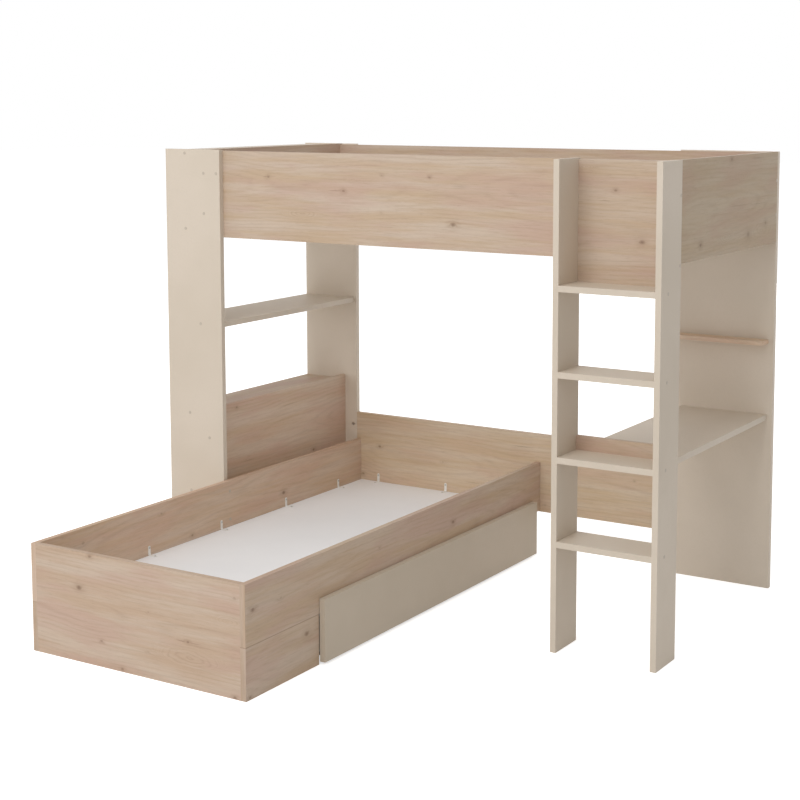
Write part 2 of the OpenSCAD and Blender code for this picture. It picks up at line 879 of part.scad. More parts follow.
module all_stepped_places() {
    each_at(front_post_points, "back") children();
    each_at(rear_post_points, "front") children();
    each_at(tower_screw_points_right, "left") children();
    each_at(tower_screw_points_left, "right") children();
    each_at(rear_panel_desk_points, "front") children();
    each_at(rear_panel_ledge_points, "front") children();
    each_at(rear_panel_end_points, "front") children();
    each_at(concat(head_rail_l_points, head_rail_r_points), "front") children();
    each_at(rail_post_points, "left") children();
    each_at(strip_points, "up") children();
}

module assembly_screws() {
    color(zinc) placed() {
        all_stepped_places() stepped_screw(board_t);
        each_at(end_panel_points, "left") stepped_screw(panel_t);
        each_at(guard_face_points_front, "back") guard_screw();
        each_at(guard_face_points_rear, "front") guard_screw();
    }
}

module screw_caps() {
    color(beige) placed() {
        all_stepped_places() screw_cap();
        each_at(end_panel_points, "left") screw_cap();
        each_at(guard_face_points_front, "back") screw_cap();
        each_at(guard_face_points_rear, "front") screw_cap();
    }
}

module dowels() {
    color(beech) placed() {
        each_at(concat(left_leg_dowels, right_leg_dowels), "up") dowel();
        each_at(concat(box_top_dowels, box_bottom_dowels), "right") short_dowel();
        each_at(concat(niche_top_dowels, niche_floor_dowels), "right") short_dowel();
        each_at(tower_end_dowels, "back") dowel();
    }
}

module cam_fittings() {
    color(zinc) placed() {
        cam_joint(head_left_cam_points, "left", "front", board_t / 2);
        cam_joint(head_right_cam_points, "right", "back", board_t / 2);
        cam_joint(foot_left_cam_points, "right", "back", board_t / 2);
        cam_joint(foot_right_cam_points, "left", "back", board_t / 2);
        cam_joint(desk_cam_points, "back", "down", board_t / 2);
    }
}

// -------------------------------------------------------------- drawer

side_cam_rise = 65;        // cams above the box's lower edge
side_cam_z = drawer_floor_z + side_cam_rise;
drawer_left_cam = [[drawer_x0, drawer_box_y0 + drawer_wall / 2, side_cam_z]];
drawer_right_cam = [[drawer_x0, drawer_box_y1 - drawer_wall / 2, side_cam_z]];
drawer_mid_cam = [[drawer_x0, divider_y, side_cam_z]];
back_screw_in = 30;
drawer_back_zs = [drawer_floor_z + back_screw_in, drawer_floor_z + drawer_wall_h - back_screw_in];
drawer_back_screws = [
    for (y = [drawer_box_y0 + drawer_wall / 2, divider_y, drawer_box_y1 - drawer_wall / 2])
        for (z = drawer_back_zs) [drawer_box_x0, y, z]];
floor_t = 16;
floor_screw_in = 180;
floor_screw_xs = [drawer_box_x0 + floor_screw_in, drawer_x0 - floor_screw_in];
floor_screws_left = [
    for (x = floor_screw_xs) [x, drawer_box_y0, drawer_floor_z + floor_t / 2]];
floor_screws_right = [
    for (x = floor_screw_xs) [x, drawer_box_y1, drawer_floor_z + floor_t / 2]];

module drawer_bores() {
    each_at(drawer_back_screws, "right") stepped_bore(drawer_wall);
    each_at(floor_screws_left, "back") stepped_bore(drawer_wall);
    each_at(floor_screws_right, "front") stepped_bore(drawer_wall);
    cam_joint_bore(drawer_left_cam, "left", "back", drawer_wall / 2);
    cam_joint_bore(drawer_right_cam, "left", "front", drawer_wall / 2);
    cam_joint_bore(drawer_mid_cam, "left", "front", drawer_wall / 2);
}

module drawer_front() {
    color(beige) placed() difference() {
        board([drawer_x0, drawer_y0, drawer_front_z], [board_t, drawer_front_l, drawer_front_h]);
        drawer_bores();
    }
}

module drawer_wall_x(y) {
    difference() {
        board(
            [drawer_box_x0 + drawer_wall, y, drawer_floor_z],
            [drawer_d - drawer_wall, drawer_wall, drawer_wall_h]);
        drawer_bores();
    }
}

module drawer_left_side() {
    color(beige) placed() drawer_wall_x(drawer_box_y0);
}

module drawer_right_side() {
    color(beige) placed() drawer_wall_x(drawer_box_y1 - drawer_wall);
}

module drawer_divider() {
    color(beige) placed() drawer_wall_x(divider_y - drawer_wall / 2);
}

module drawer_back() {
    color(beige) placed() difference() {
        board(
            [drawer_box_x0, drawer_box_y0, drawer_floor_z],
            [drawer_wall, drawer_box_y1 - drawer_box_y0, drawer_wall_h]);
        drawer_bores();
    }
}

// the two floor boards, one on each side of the divider
module drawer_floors() {
    floor_l = divider_y - drawer_box_y0 - 1.5 * drawer_wall;
    color(white) placed() difference() {
        for (y = [drawer_box_y0 + drawer_wall, divider_y + drawer_wall / 2]) board(
            [drawer_box_x0 + drawer_wall, y, drawer_floor_z],
            [drawer_d - drawer_wall, floor_l, floor_t]);
        drawer_bores();
        castor_places() castor_screw_bores();
    }
}

module drawer_screws() {
    color(zinc) placed() {
        each_at(drawer_back_screws, "right") stepped_screw(drawer_wall);
        each_at(floor_screws_left, "back") stepped_screw(drawer_wall);
        each_at(floor_screws_right, "front") stepped_screw(drawer_wall);
        castor_places() castor_screws();
    }
}

module drawer_cam_fittings() {
    color(zinc) placed() {
        cam_joint(drawer_left_cam, "left", "back", drawer_wall / 2);
        cam_joint(drawer_right_cam, "left", "front", drawer_wall / 2);
        cam_joint(drawer_mid_cam, "left", "front", drawer_wall / 2);
    }
}

// ------------------------------------------------------------- castors

plate_hole_at = [16, 24];
castor_screw_bite = 10;
cheek_r = 9;
rivet_t = 1.5;

// the four castors, centred over the wheel on the floor
module castor_places() {
    for (x = castor_xs) for (y = castor_ys) translate([x, y, 0]) children();
}

module plate_corners() {
    for (sx = [-1, 1]) for (sy = [-1, 1]) {
        translate([sx * plate_hole_at[0], sy * plate_hole_at[1], 0]) children();
    }
}

module castor_screws() {
    plate_corners() {
        translate([0, 0, drawer_floor_z - fork_t - pan_h]) pan_screw(fork_t + castor_screw_bite);
    }
}

module castor_screw_bores() {
    plate_corners() {
        translate([0, 0, drawer_floor_z - 0.5]) {
            cylinder(h = castor_screw_bite + 1.5, r = wood_screw_r + bore_play);
        }
    }
}

// fixed fork: mounting plate and two cheeks with the axle holes
module castor_fork() {
    cheek_y = wheel_w / 2 + fork_gap;
    cheek_top = drawer_floor_z - fork_t;
    difference() {
        union() {
            translate([-fork_plate[0] / 2, -fork_plate[1] / 2, cheek_top]) {
                cube([fork_plate[0], fork_plate[1], fork_t]);
            }
            for (y = [-cheek_y - fork_t, cheek_y]) {
                translate([-cheek_r, y, wheel_r]) {
                    cube([2 * cheek_r, fork_t, cheek_top - wheel_r + 0.1]);
                }
                translate([0, y, wheel_r]) aim("back") cylinder(h = fork_t, r = cheek_r);
            }
        }
        translate([0, -cheek_y - fork_t - 1, wheel_r]) {
            aim("back") cylinder(h = 2 * (cheek_y + fork_t) + 2, r = axle_r + bore_play);
        }
        plate_corners() {
            translate([0, 0, cheek_top - 1]) cylinder(h = fork_t + 2, r = wood_screw_r + bore_play);
        }
    }
}

module castor_forks() {
    color(zinc) placed() castor_places() castor_fork();
}

// riveted axle with a head on each side of the fork
module castor_axle() {
    reach = wheel_w / 2 + fork_gap + fork_t;
    translate([0, -reach, wheel_r]) aim("back") {
        cylinder(h = 2 * reach, r = axle_r);
        translate([0, 0, -rivet_t]) cylinder(h = rivet_t, r1 = axle_r, r2 = axle_r + rivet_t);
        translate([0, 0, 2 * reach]) cylinder(h = rivet_t, r1 = axle_r + rivet_t, r2 = axle_r);
    }
}

module castor_axles() {
    color(zinc) placed() castor_places() castor_axle();
}

// wheel turned from one profile: bore, hub, web and rounded tread
module castor_wheel(x, y) {
    half = wheel_w / 2;
    placed() translate([x, y, wheel_r]) aim("back") rotate_extrude($fn = 96) polygon([
        [wheel_bore_r, -half], [7, -half], [8, -half + 3], [wheel_r - 5, -half + 3],
        [wheel_r - 4, -half + 1], [wheel_r - 1.5, -half + 1], [wheel_r, -half + 3],
        [wheel_r, half - 3], [wheel_r - 1.5, half - 1], [wheel_r - 4, half - 1],
        [wheel_r - 5, half - 3], [8, half - 3], [7, half], [wheel_bore_r, half]
    ]);
}

module castor_wheel_1() {
    color(black) castor_wheel(castor_xs[0], castor_ys[0]);
}

module castor_wheel_2() {
    color(black) castor_wheel(castor_xs[1], castor_ys[0]);
}

module castor_wheel_3() {
    color(black) castor_wheel(castor_xs[0], castor_ys[1]);
}

module castor_wheel_4() {
    color(black) castor_wheel(castor_xs[1], castor_ys[1]);
}

// ---------------------------------------------------------------- nodes

front_left_post();
rear_left_post();
rear_right_panel();
front_guard_panel();
rear_guard_panel();
left_end_panel();
right_end_panel();
upper_niche_top_board();
upper_niche_bottom_board();
open_shelf();
bedside_box_side();
bedside_box_top();
bedside_box_bottom();
high_bed_base();
high_bed_bearers();
high_bed_brackets();
ladder_left_upright();
ladder_right_upright();
ladder_rung_1();
ladder_rung_2();
ladder_rung_3();
ladder_rung_4();
ladder_back_panel();
desk_stop_strip();
desk_top();
pencil_ledge();
low_bed_left_rail();
low_bed_left_leg();
low_bed_right_rail();
low_bed_right_leg();
footboard();
long_head_panel();
low_bed_base();
low_bed_bearers();
low_bed_brackets();
bracket_screws();
assembly_screws();
screw_caps();
dowels();
cam_fittings();
drawer_front();
drawer_left_side();
drawer_right_side();
drawer_back();
drawer_divider();
drawer_floors();
drawer_screws();
drawer_cam_fittings();
castor_forks();
castor_axles();
castor_wheel_1();
castor_wheel_2();
castor_wheel_3();
castor_wheel_4();
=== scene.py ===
"""Looks of the L-shaped bunk bed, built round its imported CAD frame.

Every board keeps the CAD part's shape and gets its own procedural finish: matt
beige melamine, a wood decor with rings and knots, or white board. Screw caps,
brackets and screws are rebuilt in finer mesh where the CAD solids stand.
Lengths are metres in the row frame, unless a name or a docstring says mm.
"""

import logging
import math
from dataclasses import dataclass
from enum import Enum
from typing import ClassVar, Sequence

import bmesh
import bpy
import numpy as np
from mathutils import Matrix, Vector


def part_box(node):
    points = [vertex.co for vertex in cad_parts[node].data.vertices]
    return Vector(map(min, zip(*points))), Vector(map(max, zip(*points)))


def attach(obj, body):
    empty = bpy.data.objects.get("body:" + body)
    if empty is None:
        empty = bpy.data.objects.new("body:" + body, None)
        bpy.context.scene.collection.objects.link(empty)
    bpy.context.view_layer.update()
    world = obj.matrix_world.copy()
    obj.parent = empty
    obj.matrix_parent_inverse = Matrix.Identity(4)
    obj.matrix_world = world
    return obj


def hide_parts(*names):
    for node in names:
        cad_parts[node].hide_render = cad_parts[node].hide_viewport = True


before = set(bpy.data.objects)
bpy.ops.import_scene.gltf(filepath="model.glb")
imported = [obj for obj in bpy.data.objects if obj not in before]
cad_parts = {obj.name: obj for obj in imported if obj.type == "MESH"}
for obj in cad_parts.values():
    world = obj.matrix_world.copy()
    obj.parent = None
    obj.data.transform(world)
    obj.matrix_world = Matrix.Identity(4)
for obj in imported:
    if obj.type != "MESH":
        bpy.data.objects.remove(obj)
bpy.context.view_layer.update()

LOG = logging.getLogger("bunk_bed")
MM = 0.001
TURN = 2 * math.pi
WELD = 1e-6
# Decimals of a metre that tell a CAD solid's points apart.
PLACES = 5
EDGE_STEPS = 2
UP = Vector((0, 0, 1))
WHITE = (1.0, 1.0, 1.0, 1.0)
SMOOTH = {"interpolation_type": "SMOOTHSTEP"}
# A pressed matt paper is rough on the finest scale too, which keeps most of the sheen off it.
PAPER_SHEEN = 0.16
# The distance from a knot, in knots, at which it has no more effect.
FAR_FROM_KNOTS = 9.0

Socket = bpy.types.NodeSocket
Value = float | Sequence[float] | Socket
Size = float | tuple[float, float, float]


class Axis(Enum):
    """A row axis, by its index in a vector."""

    X = 0
    Y = 1
    Z = 2


class Slot(Enum):
    """The record's material slots."""

    BEIGE = "beige_board"
    WOOD = "wood_decor"
    WHITE_BOARD = "white_board"
    WHITE_STEEL = "white_steel"
    ZINC = "zinc_steel"
    CAP = "cap_plastic"
    BEECH = "beech"
    WHEEL = "wheel_plastic"


class Body(Enum):
    """The CAD bodies that new pieces ride on."""

    BED = "bed_frame"
    DRAWER = "drawer"


def linear(code: str) -> tuple[float, ...]:
    """Turns an sRGB colour, "#RRGGBB", into linear red, green and blue with an alpha of 1."""
    channels = [int(code[i:i + 2], 16) / 255 for i in (1, 3, 5)]
    return *(c / 12.92 if c <= 0.04045 else ((c + 0.055) / 1.055) ** 2.4 for c in channels), 1.0


@dataclass(frozen=True)
class Box:
    """A piece's lowest and highest corners."""

    low: Vector
    high: Vector

    @classmethod
    def of(cls, node: str) -> "Box":
        """The box of a CAD node."""
        return cls(*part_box(node))

    @classmethod
    def round(cls, points: np.ndarray) -> "Box":
        """The box round some points, one in each row."""
        return cls(Vector(points.min(0)), Vector(points.max(0)))

    @property
    def centre(self) -> Vector:
        """The middle of the box."""
        return (self.low + self.high) / 2

    @property
    def size(self) -> Vector:
        """The box's length along each axis."""
        return self.high - self.low

    @property
    def thin(self) -> int:
        """The index of the axis along which the box is thinnest."""
        return min(range(3), key=lambda axis: self.size[axis])


@dataclass(frozen=True)
class Oval:
    """An oval on a board's face: its middle, length and width, in mm."""

    along: float
    across: float
    length: float
    width: float = 6.0


# ---- node graphs


class Graph:
    """The node tree of a material or of the world."""

    def __init__(self, owner: bpy.types.Material | bpy.types.World) -> None:
        """Empties the node tree.

        Args:
            owner: the material or world.
        """
        owner.use_nodes = True
        self.owner = owner
        self.tree = owner.node_tree
        self.tree.nodes.clear()

    def add(self, kind: str, *inputs: Value | None, out: int | str = 0,
            named: dict[int | str, Value] | None = None, **settings: object) -> Socket:
        """Adds a node with its settings and links.

        Args:
            kind: the node's type without its common first words, and ":" with its operation.
            inputs: its first inputs in order, as values or the sockets that feed them.
            out: the name or index of the output that is wanted.
            named: more inputs, by name or index.
            settings: the node's own properties.

        Returns:
            The wanted output, or the node's first input where it has no output.
        """
        kind, _, operation = kind.partition(":")
        node = self.tree.nodes.new("ShaderNode" + kind)
        if operation:
            node.operation = operation
        for key, value in settings.items():
            setattr(node, key, value)
        for key, value in {**dict(enumerate(inputs)), **(named or {})}.items():
            if isinstance(value, Socket):
                self.tree.links.new(value, node.inputs[key])
            elif value is not None:
                node.inputs[key].default_value = value
        return node.outputs[out] if node.outputs else node.inputs[0]

    def grain(self, at: Socket, size_mm: Size, seed: float, detail: float = 2.0,
              roughness: float = 0.5) -> Socket:
        """Adds a random pattern.

        Args:
            at: the point.
            size_mm: one wave's length, or one for each axis, with 0 for no change along it.
            seed: moves the pattern to another place.
            detail: octaves.
            roughness: weight of the finer octaves.

        Returns:
            The pattern, about 0 to 1 round 0.5.
        """
        sizes = size_mm if isinstance(size_mm, tuple) else (size_mm,) * 3
        waves = [1 / (s * MM) if s else 0.0 for s in sizes]
        point = self.add("VectorMath:MULTIPLY_ADD", at, waves, (seed, 3.1 * seed, 7.7 * seed))
        return self.add("TexNoise", named={
            "Vector": point, "Scale": 1.0, "Detail": detail, "Roughness": roughness})

    def patches(self, at: Socket, size_mm: Size, seed: float, low: float, high: float,
                detail: float = 2.0, roughness: float = 0.5) -> Socket:
        """A grain with its contrast raised, so that low becomes 0 and high becomes 1."""
        return self.add("MapRange", self.grain(at, size_mm, seed, detail, roughness),
                        low, high, 0.0, 1.0, **SMOOTH)

    def ink(self, under: Value, colour: Value, mask: Value, share: float = 1.0) -> Socket:
        """Prints a colour over another, by a share of the mask."""
        amount = self.add("Math:MULTIPLY", mask, share)
        return self.add("Mix", amount, named={6: under, 7: colour}, data_type="RGBA", out=2)

    def gap(self, value: Socket, centre: float) -> Socket:
        """How far a value is from a centre."""
        off = self.add("Math:SUBTRACT", value, centre)
        return self.add("Math:ABSOLUTE", off)

    def spot(self, under: Value, oval: Socket, inner: float, outer: float,
             strength: float) -> Socket:
        """Adds a soft spot to a mask, fading from an inner to an outer oval."""
        soft = self.add("MapRange", oval, inner, outer, strength, 0.0, **SMOOTH)
        return self.add("Math:MAXIMUM", under, soft)

    def oval(self, at: Socket, oval: Oval) -> Socket:
        """Measures the distance from an oval's middle, with 1 on its outline.

        Args:
            at: the point, as along and across in metres.
            oval: the oval.

        Returns:
            The distance.
        """
        a, b = 2 / (oval.length * MM), 2 / (oval.width * MM)
        shift = (-oval.along * MM * a, -oval.across * MM * b, 0.0)
        scaled = self.add("VectorMath:MULTIPLY_ADD", at, (a, b, 0.0), shift)
        return self.add("VectorMath:LENGTH", scaled, out="Value")

    def facing(self, axis: int) -> Socket:
        """1 where the surface looks along an axis, given by its index, and 0 elsewhere."""
        part = self.add("SeparateXYZ", self.add("TexCoord", out="Normal"), out=axis)
        return self.add("MapRange", self.gap(part, 0.0), 0.6, 0.8, 0.0, 1.0, **SMOOTH)

    def finish(self, shader: dict[int | str, Value], height: Socket, depth: float,
               strength: float) -> bpy.types.Material:
        """Adds the shader, its bump and the output.

        Args:
            shader: the Principled shader's inputs.
            height: the bump's height.
            depth: the bump's depth for a height of 1.
            strength: the bump's strength.

        Returns:
            The material.
        """
        bump = self.add("Bump", named={"Height": height, "Distance": depth, "Strength": strength})
        surface = self.add("BsdfPrincipled", named={**shader, "Normal": bump})
        self.add("OutputMaterial", surface)
        return self.owner


# ---- finishes


class Finish:
    """How a surface is covered. Each finish makes a material for one board or set."""

    slot: Slot
    title: ClassVar[str]

    def material(self, name: str, box: Box) -> bpy.types.Material:
        """Makes the material of a piece from its name and its box."""
        graph = Graph(bpy.data.materials.new(f"{name}_{self.title}"))
        return self.cover(graph, graph.add("TexCoord", out="Object"), box)

    def cover(self, graph: Graph, at: Socket, box: Box) -> bpy.types.Material:
        """Adds the material's nodes.

        Args:
            graph: the material's graph.
            at: the point.
            box: the piece's box, for its edges.

        Returns:
            The material.
        """
        raise NotImplementedError


@dataclass(frozen=True)
class Paper:
    """A board's decor paper, before its edges are banded."""

    colour: Socket
    matt: Socket
    relief: Socket
    relief_share: float
    bump: float
    rubbed: str
    rub_share: float
    joint: str
    joint_share: float
    seed: float


@dataclass(frozen=True)
class EdgeBand:
    """The thin plastic band glued round a board's edges, a little glossier than its faces."""

    thickness: float = 1.1 * MM
    joint: float = 0.25 * MM
    wear: float = 1.2 * MM
    roughness: float = 0.54
    relief: float = 0.12 * MM

    def close(self, graph: Graph, at: Socket, box: Box, face: Socket,
              paper: Paper) -> bpy.types.Material:
        """Adds the corners that handling has rubbed and the fine dark joint of the band.

        Args:
            graph: the material's graph.
            at: the point.
            box: the board's box.
            face: 1 on the board's two faces and 0 on its edges.
            paper: the paper that the band closes.

        Returns:
            The material.
        """
        edge = self._distance(graph, at, box)
        near = graph.add("MapRange", edge, 0.0, self.wear, 1.0, 0.0, **SMOOTH)
        patchy = graph.patches(at, 33, paper.seed + 5, 0.4, 0.75, 3.0)
        worn = graph.add("Math:MULTIPLY", near, patchy)
        rubbed = graph.ink(paper.colour, linear(paper.rubbed), worn, paper.rub_share)
        seam = graph.add("MapRange", graph.gap(edge, self.thickness), 0.0, self.joint, 1.0, 0.0,
                         **SMOOTH)
        line = graph.add("Math:MULTIPLY", seam, face)
        banded = graph.ink(rubbed, linear(paper.joint), line, paper.joint_share)
        rough = graph.add("Mix", face, named={2: self.roughness, 3: paper.matt})
        height = graph.add("Math:MULTIPLY_ADD", paper.relief, paper.relief_share, line)
        return graph.finish({"Base Color": banded, "Roughness": rough,
                             "Specular IOR Level": PAPER_SHEEN}, height, self.relief, paper.bump)

    def _distance(self, graph: Graph, at: Socket, box: Box) -> Socket:
        """Distance from the board's nearest edge, along its surface.

        Args:
            graph: the material's graph.
            at: the point.
            box: the board's box.

        Returns:
            The distance.
        """
        offset = graph.add("VectorMath:SUBTRACT", at, tuple(box.centre))
        reach = graph.add("VectorMath:ABSOLUTE", offset)
        inside = graph.add("VectorMath:SUBTRACT", tuple(box.size / 2), reach)
        x, y, z = (graph.add("SeparateXYZ", inside, out=i) for i in range(3))
        lower = graph.add("Math:MINIMUM", x, y)
        upper = graph.add("Math:MAXIMUM", x, y)
        middle = graph.add("Math:MINIMUM", upper, z)
        return graph.add("Math:MAXIMUM", lower, middle)


@dataclass(frozen=True)
class Melamine(Finish):
    """Plain melamine paper pressed on particleboard: matt and even, with a faint mottle and a
    fine tooth that breaks up reflections."""

    slot: Slot
    colour: str
    shade: str
    speck: str
    seed: float = 0.0
    roughness: float = 0.52
    joint_colour: str = "#5E554C"
    band: EdgeBand = EdgeBand()
    title: ClassVar[str] = "pressed_melamine"

    def cover(self, graph: Graph, at: Socket, box: Box) -> bpy.types.Material:
        """Adds the material's nodes; see Finish."""
        cloud = graph.grain(at, 435, self.seed, 3.0, 0.6)
        mottle = graph.patches(at, 9, self.seed + 3, 0.45, 0.75, 3.0, 0.6)
        specks = graph.patches(at, 2.4, self.seed + 1, 0.5, 0.8, 2.0, 0.7)
        tooth = graph.grain(at, 0.53, self.seed + 2, 1.0)
        wide = graph.add("MapRange", cloud, 0.25, 0.75, 0.0, 1.0, **SMOOTH)
        dark = linear(self.shade)
        tone = graph.ink(linear(self.colour), dark, wide)
        mottled = graph.ink(tone, dark, mottle, 0.45)
        specked = graph.ink(mottled, linear(self.speck), specks, 0.14)
        matt = graph.add("MapRange", cloud, 0.0, 1.0, self.roughness - 0.05, self.roughness + 0.05)
        paper = Paper(specked, matt, tooth, relief_share=0.35, bump=0.35, rubbed=self.speck,
                      rub_share=0.5, joint=self.joint_colour, joint_share=0.3, seed=self.seed)
        return self.band.close(graph, at, box, graph.facing(box.thin), paper)


@dataclass(frozen=True)
class Knot:
    """A knot in the decor; sizes and places in mm on the board's face."""

    along: float
    across: float
    size: float
    strength: float = 0.6
    tail: float = 0.0


@dataclass(frozen=True)
class Streak(Oval):
    """A soft dark streak in the decor."""

    strength: float = 0.35


@dataclass(frozen=True)
class Eye(Oval):
    """An oval of nested rings with no dark core."""


@dataclass(frozen=True)
class Seam:
    """The dark joint against a CAD node's board, partly dirt and partly painted shade in the
    groove, with its place across and its width in mm.
    """

    across: float
    board: str
    width: float = 2.6


@dataclass(frozen=True)
class WoodDecor(Finish):
    """Melamine paper printed as light knotty wood: growth rings round a wandering heart, soft
    tan and pink zones, fine fibres, short pores, and knots that bend the rings round them."""

    along: Axis
    across: Axis
    knots: tuple[Knot, ...] = ()
    streaks: tuple[Streak, ...] = ()
    eyes: tuple[Eye, ...] = ()
    seams: tuple[Seam, ...] = ()
    seed: float = 0.0
    heart: float = 0.0
    ring_pitch: float = 13.0
    eye_rings: float = 4.0
    waviness: float = 11.0
    knot_bend: float = 8.0
    late_wood: float = 3.0
    edge_tone: float = 0.16
    tan: str = "#C2AA90"
    pale: str = "#CAB8A6"
    pink: str = "#C1A394"
    ring: str = "#9B816B"
    core: str = "#765B48"
    joint_colour: str = "#3A2E26"
    band: EdgeBand = EdgeBand()
    slot: Slot = Slot.WOOD
    title: ClassVar[str] = "printed_wood_decor"

    def cover(self, graph: Graph, at: Socket, box: Box) -> bpy.types.Material:
        """Adds the material's nodes; see Finish."""
        is_end = graph.facing(self.along.value)
        flat, along, across = self._print_axes(graph, at, box, is_end)
        jitter = graph.add("TexNoise", named={"Vector": flat, "Scale": 95.0, "Detail": 2.0},
                           out="Color")
        ragged = graph.add("VectorMath:MULTIPLY_ADD", jitter, (0.006, 0.005, 0.0), flat)
        ragged = graph.add("VectorMath:SUBTRACT", ragged, (0.003, 0.0025, 0.0))
        fibre = graph.grain(flat, (130, 6.5, 6.5), self.seed + 2, 3.0, 0.6)
        near, core, halo = self._knots(graph, ragged)
        colour = self._ground(graph, ragged, is_end)
        colour = self._ringed(graph, colour, flat, near)
        colour = self._fibrous(graph, colour, flat, fibre)
        colour = graph.ink(colour, linear(self.ring), halo, 0.5)
        colour = graph.ink(colour, linear(self.core), core)
        colour = self._seam_dirt_and_shade(graph, colour, along, across)
        face = graph.facing(box.thin)
        edge = graph.add("Math:SUBTRACT", 1.0, face)
        colour = graph.ink(colour, linear(self.ring), edge, self.edge_tone)
        matt = graph.add("MapRange", fibre, 0.0, 1.0, 0.6, 0.46)
        paper = Paper(colour, matt, fibre, relief_share=0.5, bump=0.4, rubbed=self.pale,
                      rub_share=0.4, joint=self.joint_colour, joint_share=0.25, seed=self.seed)
        return self.band.close(graph, at, box, face, paper)

    def _print_axes(self, graph: Graph, at: Socket, box: Box,
                    is_end: Socket) -> tuple[Socket, Socket, Socket]:
        """The print's axes. On a board's short ends the band's print runs across the board.

        Args:
            graph: the material's graph.
            at: the point.
            box: the board's box.
            is_end: 1 on the board's short ends.

        Returns:
            The print's point, and the board's own along and across by themselves.
        """
        third = ({0, 1, 2} - {self.along.value, self.across.value}).pop()
        along, across, deep = (
            graph.add("SeparateXYZ", at, out=i)
            for i in (self.along.value, self.across.value, third)
        )
        depth = graph.add("Math:SUBTRACT", deep, box.low[third])
        face = graph.add("CombineXYZ", along, across, depth)
        end = graph.add("CombineXYZ", across, depth, along)
        flat = graph.add("Mix", is_end, named={4: face, 5: end}, data_type="VECTOR", out=1)
        return flat, along, across

    def _knots(self, graph: Graph, ragged: Socket) -> tuple[Value, Value, Value]:
        """Places the knots and streaks.

        Args:
            graph: the material's graph.
            ragged: the print's point, with a ragged edge.

        Returns:
            Distance to the nearest knot, the dark cores and tails, and the warm halos.
        """
        near, core, halo = FAR_FROM_KNOTS, 0.0, 0.0
        for k in self.knots:
            oval = graph.oval(ragged, Oval(k.along, k.across, 1.5 * k.size, k.size))
            near = graph.add("Math:MINIMUM", near, oval)
            core = graph.spot(core, oval, 0.2, 1.5, k.strength)
            halo = graph.spot(halo, oval, 0.6, 4.5, k.strength)
            if k.tail:
                tail = Oval(k.along + k.tail / 2, k.across, abs(k.tail), 0.6 * k.size)
                core = graph.spot(core, graph.oval(ragged, tail), 0.1, 1.1, 0.7 * k.strength)
        for streak in self.streaks:
            core = graph.spot(core, graph.oval(ragged, streak), 0.0, 1.2, streak.strength)
        return near, core, halo

    def _ground(self, graph: Graph, ragged: Socket, is_end: Socket) -> Socket:
        """The soft tan, pale and pink zones.

        Args:
            graph: the material's graph.
            ragged: the print's point, with a ragged edge.
            is_end: 1 on the board's short ends, where the blush is even.

        Returns:
            The ground colour.
        """
        bands = graph.patches(ragged, (620, 48, 48), self.seed + 1, 0.32, 0.68, 3.0, 0.6)
        blush = graph.patches(ragged, (420, 85, 85), self.seed + 6, 0.42, 0.66, 3.0, 0.55)
        blush = graph.add("Mix", is_end, named={2: blush, 3: 0.25})
        base = graph.ink(linear(self.tan), linear(self.pale), bands)
        return graph.ink(base, linear(self.pink), blush, 0.6)

    def _ringed(self, graph: Graph, colour: Socket, flat: Socket, near: Value) -> Socket:
        """Prints the growth rings, bent round the knots and nested in the eyes.

        Args:
            graph: the material's graph.
            colour: the ground colour.
            flat: the print's point.
            near: distance to the nearest knot.

        Returns:
            The colour with its rings.
        """
        squared = graph.add("Math:MULTIPLY_ADD", near, near, 0.5)
        bend = graph.add("Math:DIVIDE", self.knot_bend, squared)
        phase = graph.add("Math:ADD", self._phase(graph, flat), bend)
        swirl = graph.add("MapRange", near, 1.5, 5.0, 0.6, 0.0, **SMOOTH)
        wide = graph.grain(flat, (60, 20, 20), self.seed + 8, 2.0)
        for eye in self.eyes:
            oval = graph.oval(flat, eye)
            inside = graph.add("MapRange", oval, 0.75, 1.15, 1.0, 0.0, **SMOOTH)
            nested = graph.add("Math:MULTIPLY", oval, TURN * self.eye_rings)
            nested = graph.add("Math:MULTIPLY_ADD", wide, self.waviness, nested)
            phase = graph.add("Mix", inside, named={2: phase, 3: nested})
            faint = graph.add("Math:MULTIPLY", inside, 0.45)
            swirl = graph.add("Math:MAXIMUM", swirl, faint)
        sine = graph.add("Math:SINE", phase)
        wave = graph.add("MapRange", sine, -1.0, 1.0, 0.0, 1.0)
        late = graph.add("Math:POWER", wave, self.late_wood)
        fade = graph.patches(flat, (260, 40, 40), self.seed + 12, 0.35, 0.7)
        weight = graph.add("MapRange", fade, 0.0, 1.0, 0.05, 0.2)
        weight = graph.add("Math:MULTIPLY_ADD", swirl, 0.16, weight)
        rings = graph.add("Math:MULTIPLY", late, weight)
        return graph.ink(colour, linear(self.ring), rings)

    def _phase(self, graph: Graph, flat: Socket) -> Socket:
        """The rings' phase, from the distance to a log's wandering heart.

        Args:
            graph: the material's graph.
            flat: the print's point.

        Returns:
            The phase.
        """
        wobble = graph.grain(flat, (420, 75, 75), self.seed, 3.0, 0.55)
        pith = graph.grain(flat, (1300, 0, 0), self.seed + 7)
        sway = graph.grain(flat, (2000, 0, 0), self.seed + 11, 1.0)
        across, depth = (graph.add("SeparateXYZ", flat, out=i) for i in (1, 2))
        heart = graph.add("MapRange", sway, 0.0, 1.0, self.heart * MM - 0.1, self.heart * MM + 0.1)
        side = graph.add("Math:SUBTRACT", across, heart)
        below = graph.add("MapRange", pith, 0.0, 1.0, -0.06, 0.2)
        deep = graph.add("Math:ADD", below, depth)
        spoke = graph.add("CombineXYZ", side, deep, 0.0)
        radius = graph.add("VectorMath:LENGTH", spoke, out="Value")
        wavy = graph.add("Math:MULTIPLY", wobble, self.waviness)
        return graph.add("Math:MULTIPLY_ADD", radius, TURN / (self.ring_pitch * MM), wavy)

